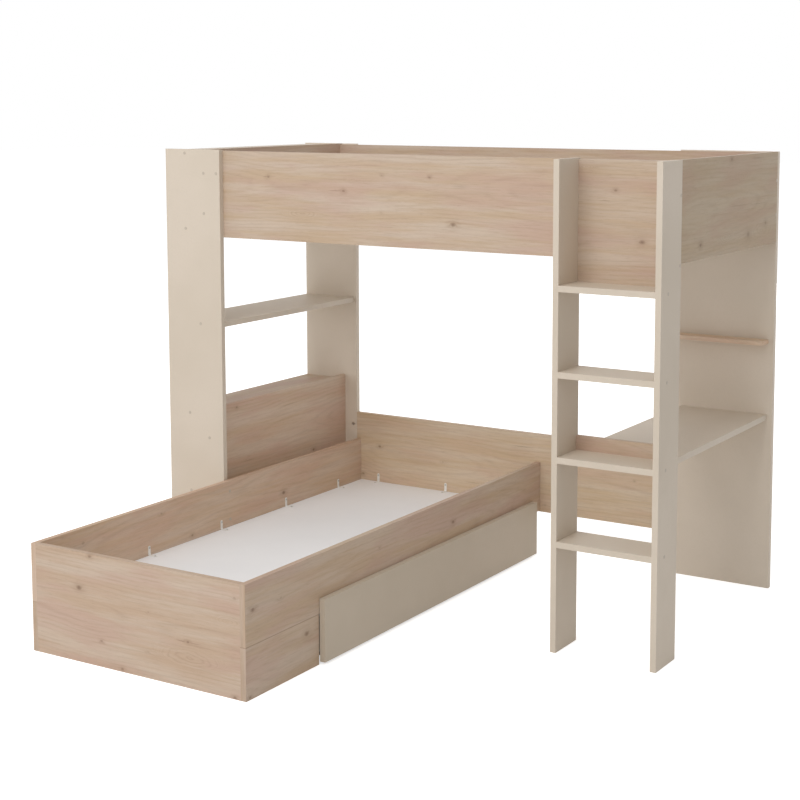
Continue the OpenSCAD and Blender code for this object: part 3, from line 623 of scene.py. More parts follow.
    def _fibrous(self, graph: Graph, colour: Socket, flat: Socket, fibre: Socket) -> Socket:
        """Prints the fibres, the short dashes and the pores.

        Args:
            graph: the material's graph.
            colour: the colour with its rings.
            flat: the print's point.
            fibre: the fibres' pattern.

        Returns:
            The colour with its fibres.
        """
        threads = graph.add("MapRange", fibre, 0.42, 0.74, 0.0, 1.0, **SMOOTH)
        dashes = graph.patches(flat, (34, 2.4, 2.4), self.seed + 9, 0.54, 0.74, 2.0, 0.55)
        pores = graph.patches(flat, (22, 0.8, 0.8), self.seed + 3, 0.6, 0.78)
        colour = graph.ink(colour, linear(self.ring), threads, 0.17)
        colour = graph.ink(colour, linear(self.ring), dashes, 0.24)
        return graph.ink(colour, linear(self.core), pores, 0.15)

    def _seam_dirt_and_shade(self, graph: Graph, colour: Socket, along: Socket, across: Socket) -> Socket:
        """Darkens the joints against other boards with dirt and painted shade.

        Args:
            graph: the material's graph.
            colour: the print's colour.
            along: the place along the board.
            across: the place across it.

        Returns:
            The colour with its joints.
        """
        for seam in self.seams:
            box, i = Box.of(seam.board), self.along.value
            off = graph.gap(across, seam.across * MM)
            line = graph.add("MapRange", off, 0.2 * MM, seam.width * MM, 1.0, 0.0, **SMOOTH)
            within = graph.add("Math:LESS_THAN", graph.gap(along, box.centre[i]),
                               box.size[i] / 2 + 0.5 * MM)
            line = graph.add("Math:MULTIPLY", line, within)
            colour = graph.ink(colour, linear(self.core), line, 0.45)
        return colour


@dataclass(frozen=True)
class PowderCoat(Finish):
    """Powder-coated pressed steel: white, half matt, with an orange-peel skin."""

    slot: Slot = Slot.WHITE_STEEL
    colour: str = "#F1EFEB"
    shade: str = "#E2DFDA"
    title: ClassVar[str] = "powder_coat"

    def cover(self, graph: Graph, at: Socket, box: Box) -> bpy.types.Material:
        """Adds the material's nodes; see Finish."""
        peel = graph.grain(at, 1.2, 2.0)
        cloud = graph.patches(at, 17, 4.0, 0.3, 0.8)
        colour = graph.ink(linear(self.colour), linear(self.shade), cloud)
        rough = graph.add("MapRange", cloud, 0.0, 1.0, 0.34, 0.46)
        return graph.finish({"Base Color": colour, "Roughness": rough}, peel, 0.08 * MM, 0.5)


@dataclass(frozen=True)
class ZincPlate(Finish):
    """Bright zinc-plated steel: a metal with a small spangle, fine draw marks and a trace of
    yellow from its passivation."""

    slot: Slot = Slot.ZINC
    colour: str = "#C9CBCC"
    tint: str = "#BDB8A6"
    title: ClassVar[str] = "zinc_plate"

    def cover(self, graph: Graph, at: Socket, box: Box) -> bpy.types.Material:
        """Adds the material's nodes; see Finish."""
        spangle = graph.patches(at, 4.5, 1.0, 0.35, 0.8)
        drawn = graph.grain(at, (11, 0.4, 1.1), 3.0, 3.0, 0.7)
        colour = graph.ink(linear(self.colour), linear(self.tint), spangle)
        rough = graph.add("MapRange", drawn, 0.2, 0.8, 0.22, 0.42)
        return graph.finish({"Base Color": colour, "Metallic": 1.0, "Roughness": rough},
                            drawn, 0.03 * MM, 0.4)


@dataclass(frozen=True)
class Plastic(Finish):
    """Injection-moulded plastic: an even body colour, a spark-eroded skin and light scuffs."""

    slot: Slot
    colour: str
    scuff: str
    roughness: float = 0.5
    title: ClassVar[str] = "moulded_plastic"

    def cover(self, graph: Graph, at: Socket, box: Box) -> bpy.types.Material:
        """Adds the material's nodes; see Finish."""
        skin = graph.grain(at, 0.42, 1.0, 1.0)
        scuffs = graph.patches(at, 5.3, 5.0, 0.52, 0.75, 4.0, 0.7)
        colour = graph.ink(linear(self.colour), linear(self.scuff), scuffs, 0.35)
        rough = graph.add("MapRange", scuffs, 0.0, 1.0, self.roughness - 0.04,
                          self.roughness + 0.14)
        return graph.finish({"Base Color": colour, "Roughness": rough}, skin, 0.04 * MM, 0.5)


@dataclass(frozen=True)
class Beech(Finish):
    """Turned beech dowel: raw and matt, with short dark flecks along it."""

    slot: Slot = Slot.BEECH
    colour: str = "#CFAE82"
    fleck: str = "#A97E52"
    title: ClassVar[str] = "raw_beech"

    def cover(self, graph: Graph, at: Socket, box: Box) -> bpy.types.Material:
        """Adds the material's nodes; see Finish."""
        grain = graph.patches(at, 3.3, 2.0, 0.35, 0.7, 4.0, 0.65)
        flecks = graph.patches(at, 1.1, 6.0, 0.6, 0.72)
        base = graph.ink(linear(self.colour), linear(self.fleck), grain)
        colour = graph.ink(base, linear(self.fleck), flecks, 0.5)
        rough = graph.add("MapRange", grain, 0.0, 1.0, 0.6, 0.8)
        return graph.finish({"Base Color": colour, "Roughness": rough}, grain, 0.1 * MM, 0.5)


def beige(seed: float) -> Melamine:
    """The beige board finish."""
    return Melamine(Slot.BEIGE, "#D6C9B9", "#D0C3B2", "#DFD5C8", seed)


def beige_with_painted_light(seed: float) -> Melamine:
    """The beige of the two rear boards, painted a shade paler: painted light that stands in for
    the fill the lamps don't bring under the high bed.
    """
    return Melamine(Slot.BEIGE, "#DED1C1", "#D8CBBA", "#E5DBCF", seed)


def white(seed: float) -> Melamine:
    """The white board finish."""
    return Melamine(Slot.WHITE_BOARD, "#F7F5F3", "#F2EFEC", "#FBFAF9", seed, 0.46, "#8C8782")


# ---- mesh making


def as_piece(shape: bmesh.types.BMesh, name: str, sharp: float = 30.0) -> bpy.types.Object:
    """Turns a finished mesh into an object at the origin.

    Args:
        shape: the mesh, which is freed.
        name: the piece's name.
        sharp: edges that turn by more than this many degrees stay sharp.

    Returns:
        The object.
    """
    for face in shape.faces:
        face.smooth = True
    for edge in shape.edges:
        edge.smooth = edge.calc_face_angle(0.0) < math.radians(sharp)
    data = bpy.data.meshes.new(name)
    shape.to_mesh(data)
    shape.free()
    made = bpy.data.objects.new(name, data)
    bpy.context.scene.collection.objects.link(made)
    return made


def turned(profile: Sequence[tuple[float, float]], segments: int) -> bmesh.types.BMesh:
    """Spins a profile round +Z.

    Args:
        profile: radius and height of each point.
        segments: points round the axis.

    Returns:
        The mesh.
    """
    shape = bmesh.new()
    points = [shape.verts.new((r, 0.0, z)) for r, z in profile]
    edges = [shape.edges.new(pair) for pair in zip(points, points[1:])]
    bmesh.ops.spin(shape, geom=points + edges, cent=(0, 0, 0), axis=UP, angle=TURN,
                   steps=segments, use_merge=True)
    bmesh.ops.remove_doubles(shape, verts=shape.verts, dist=WELD)
    return shape


def poured(made: bmesh.types.BMesh, shape: bmesh.types.BMesh, places: Sequence[Matrix]) -> None:
    """Adds a shape to a mesh at several places.

    Args:
        made: the mesh that it is added to.
        shape: the shape, which is freed.
        places: where each copy goes.
    """
    bmesh.ops.recalc_face_normals(shape, faces=shape.faces)
    die = bpy.data.meshes.new("stamp")
    shape.to_mesh(die)
    shape.free()
    for place in places:
        first = len(made.verts)
        made.from_mesh(die)
        made.verts.ensure_lookup_table()
        bmesh.ops.transform(made, matrix=place, verts=made.verts[first:])
    bpy.data.meshes.remove(die)


def solids_of(node: str) -> list[np.ndarray]:
    """Splits a CAD node of like fasteners into its separate solids.

    Args:
        node: the node's name.

    Returns:
        The points of each solid.
    """
    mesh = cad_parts[node].data
    points = np.array([v.co for v in mesh.vertices], float)
    keys: dict[tuple[float, ...], int] = {}
    welded = [keys.setdefault(tuple(p), len(keys)) for p in np.round(points, PLACES)]
    owner = list(range(len(keys)))

    def root(i: int) -> int:
        """Finds the first point of the solid that a point belongs to.

        Args:
            i: the point.

        Returns:
            The first point.
        """
        while owner[i] != i:
            owner[i] = owner[owner[i]]
            i = owner[i]
        return i

    for polygon in mesh.polygons:
        first = root(welded[polygon.vertices[0]])
        for v in polygon.vertices[1:]:
            owner[root(welded[v])] = first
    groups: dict[int, list[int]] = {}
    for i, w in enumerate(welded):
        groups.setdefault(root(w), []).append(i)
    return [points[group] for group in groups.values()]


def placed(origin: Vector, out: Vector, side: Vector | None = None) -> Matrix:
    """A place whose local +Z looks outwards.

    Args:
        origin: the place.
        out: the direction of local +Z.
        side: the direction of local +X, if it matters.

    Returns:
        The matrix.
    """
    if side is None:
        side = UP if abs(out.z) < 0.5 else unit(0, 1.0)
    basis = Matrix((side, out.cross(side), out)).transposed().to_4x4()
    basis.translation = origin
    return basis


def unit(axis: int, sign: float) -> Vector:
    """A vector of length 1 along a row axis, by the axis's index and a sign."""
    return Vector([sign if i == axis else 0.0 for i in range(3)])


def axis_place(points: np.ndarray, axis: int, reach: float,
               from_wide: bool) -> tuple[Matrix, float]:
    """The place of a turned solid, from which of its ends is the wide one.

    Args:
        points: the solid's points.
        axis: the index of its axis.
        reach: how far from an end still counts as the end.
        from_wide: whether the place is the wide end looking out, or that end looking in.

    Returns:
        The place and the wide end's radius.
    """
    box = Box.round(points)
    others = [i for i in range(3) if i != axis]
    radius = np.linalg.norm((points - np.array(box.centre))[:, others], axis=1)
    at_low = float(radius[points[:, axis] < box.low[axis] + reach].max())
    at_high = float(radius[points[:, axis] > box.high[axis] - reach].max())
    high_is_wide = at_high > at_low
    origin = box.centre
    origin[axis] = (box.high if high_is_wide else box.low)[axis]
    sign = 1.0 if high_is_wide == from_wide else -1.0
    return placed(origin, unit(axis, sign)), max(at_low, at_high)


# ---- finer fasteners


class Fastener:
    """A kind of fastener that is rebuilt finer where the solids of a CAD node stand."""

    sharp: float

    def build(self, node: str, name: str) -> bpy.types.Object:
        """Makes every fastener of a CAD node as one piece.

        Args:
            node: the CAD node.
            name: the piece's name.

        Returns:
            The piece.
        """
        whole = bmesh.new()
        self.fill(whole, solids_of(node))
        return as_piece(whole, name, self.sharp)

    def fill(self, whole: bmesh.types.BMesh, solids: list[np.ndarray]) -> None:
        """Adds the fasteners to a mesh.

        Args:
            whole: the mesh.
            solids: the points of each CAD solid.
        """
        raise NotImplementedError


@dataclass(frozen=True)
class ScrewCaps(Fastener):
    """The domed caps over the stepped screws: a flat rim, a small groove and a crown."""

    rim: float = 6.5 * MM
    crown: float = 5.4 * MM
    height: float = 0.8 * MM
    lip: float = 0.35 * MM
    groove: float = 0.12 * MM
    dome_start: float = 0.18
    dome_points: int = 7
    segments: int = 28
    sharp: float = 50.0

    def fill(self, whole: bmesh.types.BMesh, solids: list[np.ndarray]) -> None:
        """Adds the caps to a mesh; see Fastener."""
        places = [axis_place(points, Box.round(points).thin, self.groove, False)[0]
                  for points in solids]
        poured(whole, turned(self._profile(), self.segments), places)

    def _profile(self) -> list[tuple[float, float]]:
        """Draws the cap's outline from its seat to its crown.

        Returns:
            Radius and height of each point.
        """
        rise = self.height - self.lip
        dome = [(self.crown * math.cos(a), self.lip + rise * math.sin(a))
                for a in np.linspace(self.dome_start, math.pi / 2, self.dome_points)]
        chamfer = self.groove / 2
        return [
            (0.0, 0.0), (self.rim - chamfer, 0.0), (self.rim, chamfer),
            (self.rim - chamfer, self.lip), (self.crown + 2 * self.groove, self.lip),
            (self.crown, self.lip - self.groove), *dome[:-1], (0.0, self.height),
        ]


@dataclass(frozen=True)
class Bracket(Fastener):
    """A pressed steel L bracket: a strip with rounded tips, bent once and 2 mm thick."""

    bend: float = 2.8 * MM
    thickness: float = 2.0 * MM
    tip: float = 5.0 * MM
    deburr: float = 0.3 * MM
    deburr_over: float = 55.0
    steps: int = 6
    sharp: float = 30.0

    def build(self, node: str, name: str) -> bpy.types.Object:
        """Makes the brackets and rounds their edges; see Fastener."""
        piece = super().build(node, name)
        soften(piece, "deburred_edges", self.deburr, self.deburr_over)
        return piece

    def fill(self, whole: bmesh.types.BMesh, solids: list[np.ndarray]) -> None:
        """Adds the brackets to a mesh; see Fastener."""
        size = Box.round(solids[0]).size
        strip = self._strip(max(size.x, size.y), size.z, min(size.x, size.y))
        poured(whole, strip, [self._place(points) for points in solids])

    def _strip(self, foot: float, rise: float, width: float) -> bmesh.types.BMesh:
        """Bends one bracket, with its corner at the origin.

        Args:
            foot: the foot's length along +X.
            rise: the wall's height up +Z.
            width: the strip's width.

        Returns:
            The mesh.
        """
        radius = self.bend + self.thickness
        strip = bmesh.new()
        ends = [strip.verts.new((0.0, side * width / 2, rise)) for side in (-1, 1)]
        edge = strip.edges.new(ends)
        edge = self._drawn(strip, edge, Vector((0.0, 0.0, radius - rise)))
        bent = bmesh.ops.spin(strip, geom=[edge, *edge.verts], cent=(radius, 0, radius),
                              axis=(0, -1, 0), angle=math.pi / 2, steps=self.steps)
        edge = next(e for e in bent["geom_last"] if isinstance(e, bmesh.types.BMEdge))
        edge = self._drawn(strip, edge, Vector((foot - radius, 0.0, 0.0)))
        bmesh.ops.bevel(strip, geom=[*ends, *edge.verts], offset=self.tip, segments=self.steps,
                        profile=0.5, affect="VERTICES", material=-1)
        wall = min(strip.faces, key=lambda face: face.calc_center_median().x)
        wall.normal_update()
        if wall.normal.x > 0:
            bmesh.ops.reverse_faces(strip, faces=strip.faces)
        bmesh.ops.solidify(strip, geom=strip.faces, thickness=self.thickness)
        return strip

    def _drawn(self, strip: bmesh.types.BMesh, edge: bmesh.types.BMEdge,
               by: Vector) -> bmesh.types.BMEdge:
        """Draws an edge of the strip out.

        Args:
            strip: the strip.
            edge: the edge.
            by: how far it is drawn.

        Returns:
            The new edge.
        """
        made = bmesh.ops.extrude_edge_only(strip, edges=[edge])["geom"]
        moved = [g for g in made if isinstance(g, bmesh.types.BMVert)]
        bmesh.ops.translate(strip, vec=by, verts=moved)
        return next(g for g in made if isinstance(g, bmesh.types.BMEdge)
                    and all(v in moved for v in g.verts))

    def _place(self, points: np.ndarray) -> Matrix:
        """Finds where one bracket's corner is.

        Args:
            points: the CAD bracket's points.

        Returns:
            The place, with the foot's direction as local +X.
        """
        box = Box.round(points)
        foot_axis = 0 if box.size.x > box.size.y else 1
        top = points[points[:, 2] > box.high.z - MM][:, foot_axis].mean()
        sign = 1.0 if top < box.centre[foot_axis] else -1.0
        corner = box.centre
        corner.z = box.low.z
        corner[foot_axis] = (box.low if sign > 0 else box.high)[foot_axis]
        return placed(corner, UP, unit(foot_axis, sign))


class Recess(Enum):
    """The drive cut in a screw's head: points round it, turn in degrees, and waist share."""

    CROSS = (12, 15.0, 0.37)
    HEX = (6, 0.0, 1.0)


@dataclass(frozen=True)
class Screw:
    """A screw seen from its head: a domed or flat head with its drive, and the shank below."""

    head: float
    height: float
    crown: float
    shank: float
    recess: Recess
    recess_radius: float
    recess_depth: float
    recess_draft: float = 0.8
    segments: int = 24

    def shape(self, length: float) -> bmesh.types.BMesh:
        """Makes the screw with the middle of its head's top at the origin, under the X-Y plane.

        Args:
            length: from the head's top to the tip.

        Returns:
            The mesh.
        """
        edge = -self.crown
        profile = [(self.head, edge), (self.head, -self.height), (self.shank, -self.height),
                   (self.shank, 2 * self.shank - length), (0.0, -length)]
        shape = turned(profile, self.segments)
        rim = bmesh.ops.create_circle(shape, segments=self.segments, radius=self.head)["verts"]
        bmesh.ops.translate(shape, vec=(0, 0, edge), verts=rim)
        points, turn, waist = self.recess.value
        cut = bmesh.ops.create_circle(shape, segments=points, radius=self.recess_radius)["verts"]
        bmesh.ops.rotate(shape, verts=cut, matrix=Matrix.Rotation(math.radians(turn), 3, "Z"))
        drawn_in = [v for v in cut if waist < 1 and abs(abs(v.co.x) - abs(v.co.y)) < WELD]
        bmesh.ops.scale(shape, vec=(waist, waist, 1), verts=drawn_in)
        loops = [list({e for v in loop for e in v.link_edges}) for loop in (rim, cut)]
        self._sink(shape, loops[1])
        bridged = bmesh.ops.bridge_loops(shape, edges=[*loops[0], *loops[1]])["edges"]
        fine = bmesh.ops.subdivide_edges(shape, edges=bridged, cuts=2)["geom_inner"]
        for vert in (g for g in fine if isinstance(g, bmesh.types.BMVert)):
            share = math.hypot(vert.co.x, vert.co.y) / self.head
            vert.co.z = -self.crown * share ** 2
        bmesh.ops.remove_doubles(shape, verts=shape.verts, dist=WELD)
        return shape

    def _sink(self, shape: bmesh.types.BMesh, loop: list[bmesh.types.BMEdge]) -> None:
        """Sinks the drive's floor below its rim.

        Args:
            shape: the screw.
            loop: the rim's edges.
        """
        floor = bmesh.ops.contextual_create(shape, geom=loop)["faces"]
        sunk = bmesh.ops.extrude_discrete_faces(shape, faces=floor)["faces"]
        verts = list({v for face in sunk for v in face.verts})
        bmesh.ops.translate(shape, vec=(0, 0, -self.recess_depth), verts=verts)
        bmesh.ops.scale(shape, vec=(self.recess_draft, self.recess_draft, 1), verts=verts)


@dataclass(frozen=True)
class Screws(Fastener):
    """Screws with their drives: pan heads, and sunk heads where the CAD head is wide."""

    pan: Screw = Screw(3.8 * MM, 2.0 * MM, 0.6 * MM, 1.8 * MM, Recess.CROSS, 2.2 * MM, 1.2 * MM)
    sunk: Screw = Screw(5.0 * MM, 2.5 * MM, 0.1 * MM, 3.2 * MM, Recess.HEX, 2.2 * MM, 2.0 * MM)
    sunk_over: float = 4.5 * MM
    end_reach: float = 2.7 * MM
    sharp: float = 42.0

    def fill(self, whole: bmesh.types.BMesh, solids: list[np.ndarray]) -> None:
        """Adds the screws to a mesh, like ones together; see Fastener."""
        groups: dict[tuple[bool, float], list[Matrix]] = {}
        for points in solids:
            size = Box.round(points).size
            axis = max(range(3), key=lambda i: size[i])
            place, radius = axis_place(points, axis, self.end_reach, True)
            key = (radius > self.sunk_over, round(size[axis], PLACES))
            groups.setdefault(key, []).append(place)
        for is_sunk, length in sorted(groups):
            poured(whole, (self.sunk if is_sunk else self.pan).shape(length),
                   groups[is_sunk, length])


# ---- sub-assemblies


def soften(piece: bpy.types.Object, name: str, radius: float, over: float) -> None:
    """Rounds a piece's sharp edges a little.

    Args:
        piece: the piece.
        name: the modifier's name.
        radius: the edges' radius.
        over: only edges that turn by more than this many degrees are rounded.
    """
    bevel = piece.modifiers.new(name, "BEVEL")
    bevel.width, bevel.segments = radius, EDGE_STEPS
    bevel.limit_method, bevel.angle_limit = "ANGLE", math.radians(over)


@dataclass(frozen=True)
class Fitting:
    """Fasteners that are made new and stand for a CAD node."""

    node: str
    maker: Fastener
    finish: Finish
    body: Body = Body.BED

    def build(self) -> None:
        """Makes the piece and gives it its finish and its place in the frame."""
        piece = self.maker.build(self.node, f"{self.node.removesuffix('s')}_set")
        points = np.array([v.co for v in piece.data.vertices], float)
        piece.data.materials.append(self.finish.material(piece.name, Box.round(points)))
        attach(piece, self.body.value)
        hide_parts(self.node)
        LOG.info("%s: %d faces, for %s", piece.name, len(piece.data.polygons), self.node)


@dataclass(frozen=True)
class SubAssembly:
    """A group of CAD nodes and new pieces that are made and dressed together."""

    edge_radius: float = 0.7 * MM
    edge_over: float = 60.0
    weld: float = 0.01 * MM
    fittings: tuple[Fitting, ...] = ()
    finishes: ClassVar[dict[str, Finish]] = {}

    def build(self) -> None:
        """Makes the new pieces."""
        for fitting in self.fittings:
            fitting.build()

    def dress(self) -> None:
        """Gives each CAD node that keeps its own shape its finish and its softened edges."""
        for node, finish in self.finishes.items():
            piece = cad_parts[node]
            piece.data.materials.clear()
            piece.data.materials.append(finish.material(node, Box.of(node)))
            for polygon in piece.data.polygons:
                polygon.material_index = 0
            if self.edge_radius:
                piece.modifiers.new("welded", "WELD").merge_threshold = self.weld
                soften(piece, "rounded_edges", self.edge_radius, self.edge_over)
                piece.modifiers["rounded_edges"].harden_normals = True
            LOG.info("%s dressed as %s", node, finish.slot.value)


@dataclass(frozen=True)
class HighBed(SubAssembly):
    """The high bed: posts, guards, end panels, niche, base, bearers and brackets."""

    fittings: tuple[Fitting, ...] = (Fitting("high_bed_brackets", Bracket(), PowderCoat()),)
    finishes: ClassVar[dict[str, Finish]] = {
        "front_left_post": beige(1.0),
        # The rear post and the rear panel take a paler beige: painted light in the shade under the
        # high bed.
        "rear_left_post": beige_with_painted_light(2.0),
        "rear_right_panel": beige_with_painted_light(3.0),
        "front_guard_panel": WoodDecor(
            Axis.X, Axis.Z,
            knots=(Knot(-623, 1644, 8, 0.5, -30), Knot(-263, 1598, 9, 0.55, -75),
                   Knot(125, 1661, 7, 0.45), Knot(227, 1488, 14, 0.6), Knot(-90, 1523, 6, 0.15),
                   Knot(-87, 1662, 7, 0.2), Knot(88, 1523, 5, 0.15)),
            streaks=(Streak(256, 1630, 90, 26, 0.16), Streak(591, 1693, 120, 16, 0.16),
                     Streak(-330, 1720, 150, 6, 0.1)),
            eyes=(Eye(-200, 1641, 90, 34), Eye(-135, 1641, 80, 32), Eye(-70, 1640, 70, 28),
                  Eye(-458, 1503, 180, 50)),
            seed=2.0, heart=1590,
        ),
        "rear_guard_panel": WoodDecor(
            Axis.X, Axis.Z, knots=(Knot(-560, 1610, 10), Knot(410, 1530, 12, 0.6, -40)),
            eyes=(Eye(-100, 1600, 200, 60),), seed=14.0, heart=1540,
        ),
        "left_end_panel": WoodDecor(
            Axis.Y, Axis.Z, knots=(Knot(350, 1560, 11), Knot(790, 1660, 7, 0.4)),
            seed=23.0, heart=1600,
        ),
        "right_end_panel": WoodDecor(
            Axis.Y, Axis.Z,
            knots=(Knot(523, 1732, 11, 0.55), Knot(705, 1446, 20, 0.5), Knot(237, 1442, 12, 0.75),
                   Knot(890, 1477, 14, 0.45)),
            streaks=(Streak(790, 1729, 150, 9, 0.3), Streak(620, 1560, 300, 5, 0.32),
                     Streak(800, 1556, 190, 5, 0.4), Streak(700, 1540, 240, 4, 0.26),
                     Streak(880, 1580, 130, 4, 0.3), Streak(430, 1538, 240, 5, 0.22)),
            eyes=(Eye(640, 1668, 170, 66), Eye(850, 1452, 300, 90), Eye(470, 1452, 150, 60)),
            # Its darker tan, pale, pink and ring colours are painted shade on this side, which
            # faces away from the lamps.
            seed=31.0, heart=1560, tan="#B39D81", pale="#BAA890", pink="#B2967F", ring="#8A715B",
        ),
        "upper_niche_top_board": beige(4.0),
        "upper_niche_bottom_board": beige(5.0),
        "high_bed_base": white(6.0),
        "high_bed_bearers": beige(7.0),
    }


@dataclass(frozen=True)
class Bedside(SubAssembly):
    """The open shelf and the bedside box."""

    finishes: ClassVar[dict[str, Finish]] = {
        "open_shelf": beige(8.0),
        "bedside_box_side": WoodDecor(
            Axis.Y, Axis.Z, knots=(Knot(213, 663, 7, 0.5), Knot(760, 379, 10, 0.6)),
            streaks=(Streak(576, 615, 150, 6, 0.25), Streak(291, 422, 120, 6, 0.25)),
            # Its lighter colours are painted light in the corner under the high bed.
            seed=41.0, heart=520, tan="#CCB196", pale="#D3BFAC", pink="#CCAA98", ring="#A38871",
        ),
        "bedside_box_top": WoodDecor(Axis.Y, Axis.X, seed=44.0, heart=-1000),
        "bedside_box_bottom": WoodDecor(Axis.Y, Axis.X, seed=47.0, heart=-1100),
    }


@dataclass(frozen=True)
class LadderAndDesk(SubAssembly):
    """The ladder tower, the desk top, its stop strip and the pencil ledge."""

    finishes: ClassVar[dict[str, Finish]] = {
        "ladder_left_upright": beige(9.0),
        "ladder_right_upright": beige(10.0),
        **{f"ladder_rung_{i}": beige(10.0 + i) for i in range(1, 5)},
        "ladder_back_panel": WoodDecor(
            Axis.X, Axis.Z, knots=(Knot(892, 1636, 8, 0.5), Knot(994, 1461, 12, 0.6, -16)),
            streaks=(Streak(852, 1599, 50, 6, 0.3),), eyes=(Eye(780, 1716, 90, 30),),
            seed=52.0, heart=1500,
        ),
        "desk_stop_strip": WoodDecor(Axis.X, Axis.Z, seed=55.0, heart=700),
        "desk_top": beige(15.0),
        # The ledge's lighter colours are painted light on a ledge that lies in the shade of the
        # high bed.
        "pencil_ledge": WoodDecor(Axis.X, Axis.Y, seed=58.0, heart=950, tan="#DCBFA1",
                                  pale="#E1CEB8", pink="#DEBCA5", ring="#B89B84"),
    }


@dataclass(frozen=True)
class LowBed(SubAssembly):
    """The low bed: rails on leg boards, footboard, head panel, base, bearers and brackets."""

    fittings: tuple[Fitting, ...] = (Fitting("low_bed_brackets", Bracket(), PowderCoat()),)
    left_seam: ClassVar[Seam] = Seam(180.0, "low_bed_left_leg")
    right_seam: ClassVar[Seam] = Seam(180.0, "low_bed_right_leg")
    finishes: ClassVar[dict[str, Finish]] = {
        "low_bed_left_rail": WoodDecor(
            Axis.Y, Axis.Z,
            knots=(Knot(418, 265, 14, 0.7), Knot(-188, 221, 9, 0.5), Knot(-800, 336, 9, 0.25),
                   Knot(-369, 349, 9, 0.3)),
            seams=(left_seam,), seed=74.0, heart=300,
            # Its lighter colours are painted light on the inner face, which the high bed and the
            # box shade.
            tan="#CFB396", pale="#D5C0AD", pink="#CFAD98", ring="#A38871",
        ),
        "low_bed_left_leg": WoodDecor(Axis.Y, Axis.Z, seams=(left_seam,), seed=83.0, heart=80),
        "low_bed_right_rail": WoodDecor(
            Axis.Y, Axis.Z,
            knots=(Knot(-996, 299, 12, 0.6), Knot(279, 298, 11, 0.7), Knot(-844, 297, 9, 0.2),
                   Knot(-244, 322, 7, 0.25)),
            seams=(right_seam,), seed=66.0, heart=260,
        ),
        "low_bed_right_leg": WoodDecor(
            Axis.Y, Axis.Z, knots=(Knot(-700, 132, 14, 0.6), Knot(-1015, 9, 9, 0.55)),
            seams=(right_seam,), seed=70.0, heart=90,
        ),
        "footboard": WoodDecor(
            Axis.X, Axis.Z,
            knots=(Knot(-574, 384, 9, 0.5), Knot(-627, 266, 15, 0.65), Knot(-527, 92, 8, 0.4),
                   Knot(-141, 158, 8, 0.6, -56), Knot(-141, 158, 7, 0.5, 70),
                   Knot(-433, 11, 9, 0.5), Knot(55, 6, 9, 0.6), Knot(-312, 232, 5, 0.2),
                   Knot(-316, 92, 5, 0.2), Knot(58, 341, 9, 0.25)),
            streaks=(Streak(-101, 150, 120, 7, 0.2),),
            eyes=(Eye(-136, 104, 300, 84), Eye(28, 258, 130, 40)), seed=61.0, heart=180,
            tan="#C1A891", pink="#C1A292",
        ),
        "long_head_panel": WoodDecor(
            Axis.X, Axis.Z,
            knots=(Knot(-727, 366, 10, 0.6), Knot(-819, 230, 9, 0.5), Knot(-390, 334, 7, 0.25),
                   Knot(125, 206, 6, 0.25), Knot(544, 364, 6, 0.25)),
            streaks=(Streak(16, 450, 110, 7, 0.3), Streak(-234, 259, 90, 7, 0.25)),
            # Its lighter colours are painted light on a panel that lies in the shade under the
            # high bed.
            seed=79.0, heart=340, tan="#CFB798", pale="#D6C4AE", pink="#CFB29A", ring="#A68B73",
        ),
        # This white is painted a touch bluer to cancel the warm light that the wood sides bounce
        # onto the base.
        "low_bed_base": Melamine(Slot.WHITE_BOARD, "#F7F7F8", "#F3F3F4", "#FBFBFB", 16.0,
                                 0.46, "#8C8782"),
        "low_bed_bearers": beige(17.0),
    }


@dataclass(frozen=True)
class CastorDrawer(SubAssembly):
    """The roll-out drawer: its boards and its own screws."""

    fittings: tuple[Fitting, ...] = (
        Fitting("drawer_screws", Screws(), ZincPlate(), Body.DRAWER),)
    finishes: ClassVar[dict[str, Finish]] = {
        # The front's darker beige is painted shade: the drawer runs back into the shade under the
        # beds.
        "drawer_front": Melamine(Slot.BEIGE, "#CEC1B0", "#C8BBA9", "#D7CDBF", 18.0),
        "drawer_left_side": beige(19.0),
        "drawer_right_side": beige(20.0),
        "drawer_back": beige(21.0),
        "drawer_divider": beige(22.0),
        "drawer_floors": white(23.0),
    }


@dataclass(frozen=True)
class Joinery(SubAssembly):
    """Screws, caps, cams and dowels that hold the boards together."""

    edge_radius: float = 0.0
    fittings: tuple[Fitting, ...] = (
        Fitting("screw_caps", ScrewCaps(), Plastic(Slot.CAP, "#BDB0A0", "#CBC0B2")),
        Fitting("bracket_screws", Screws(), ZincPlate()),
    )
    finishes: ClassVar[dict[str, Finish]] = {
        "assembly_screws": ZincPlate(), "cam_fittings": ZincPlate(),
        "drawer_cam_fittings": ZincPlate(), "dowels": Beech(),
    }


@dataclass(frozen=True)
class Castors(SubAssembly):
    """The drawer's four castors: forks, axles and wheels."""

    edge_radius: float = 0.25 * MM
    finishes: ClassVar[dict[str, Finish]] = {
        "castor_forks": ZincPlate(), "castor_axles": ZincPlate(),
        **dict.fromkeys([f"castor_wheel_{i}" for i in range(1, 5)],
                        Plastic(Slot.WHEEL, "#1D1D1F", "#3A3937", 0.45)),
    }


# ---- studio


@dataclass(frozen=True)
class Softbox:
    """A square soft lamp."""

    name: str
    at: tuple[float, float, float]
    size: float
    power: float
    target: tuple[float, float, float] = (0.0, 0.0, 0.8)

    def build(self) -> None:
        """Hangs the lamp and turns it to its target."""
        data = bpy.data.lights.new(self.name, "AREA")
        data.shape, data.size, data.energy = "SQUARE", self.size, self.power
        lamp = bpy.data.objects.new(self.name, data)
        lamp.location = self.at
        aim = Vector(self.target) - Vector(self.at)
        lamp.rotation_euler = aim.to_track_quat("-Z", "Y").to_euler()
        bpy.context.scene.collection.objects.link(lamp)


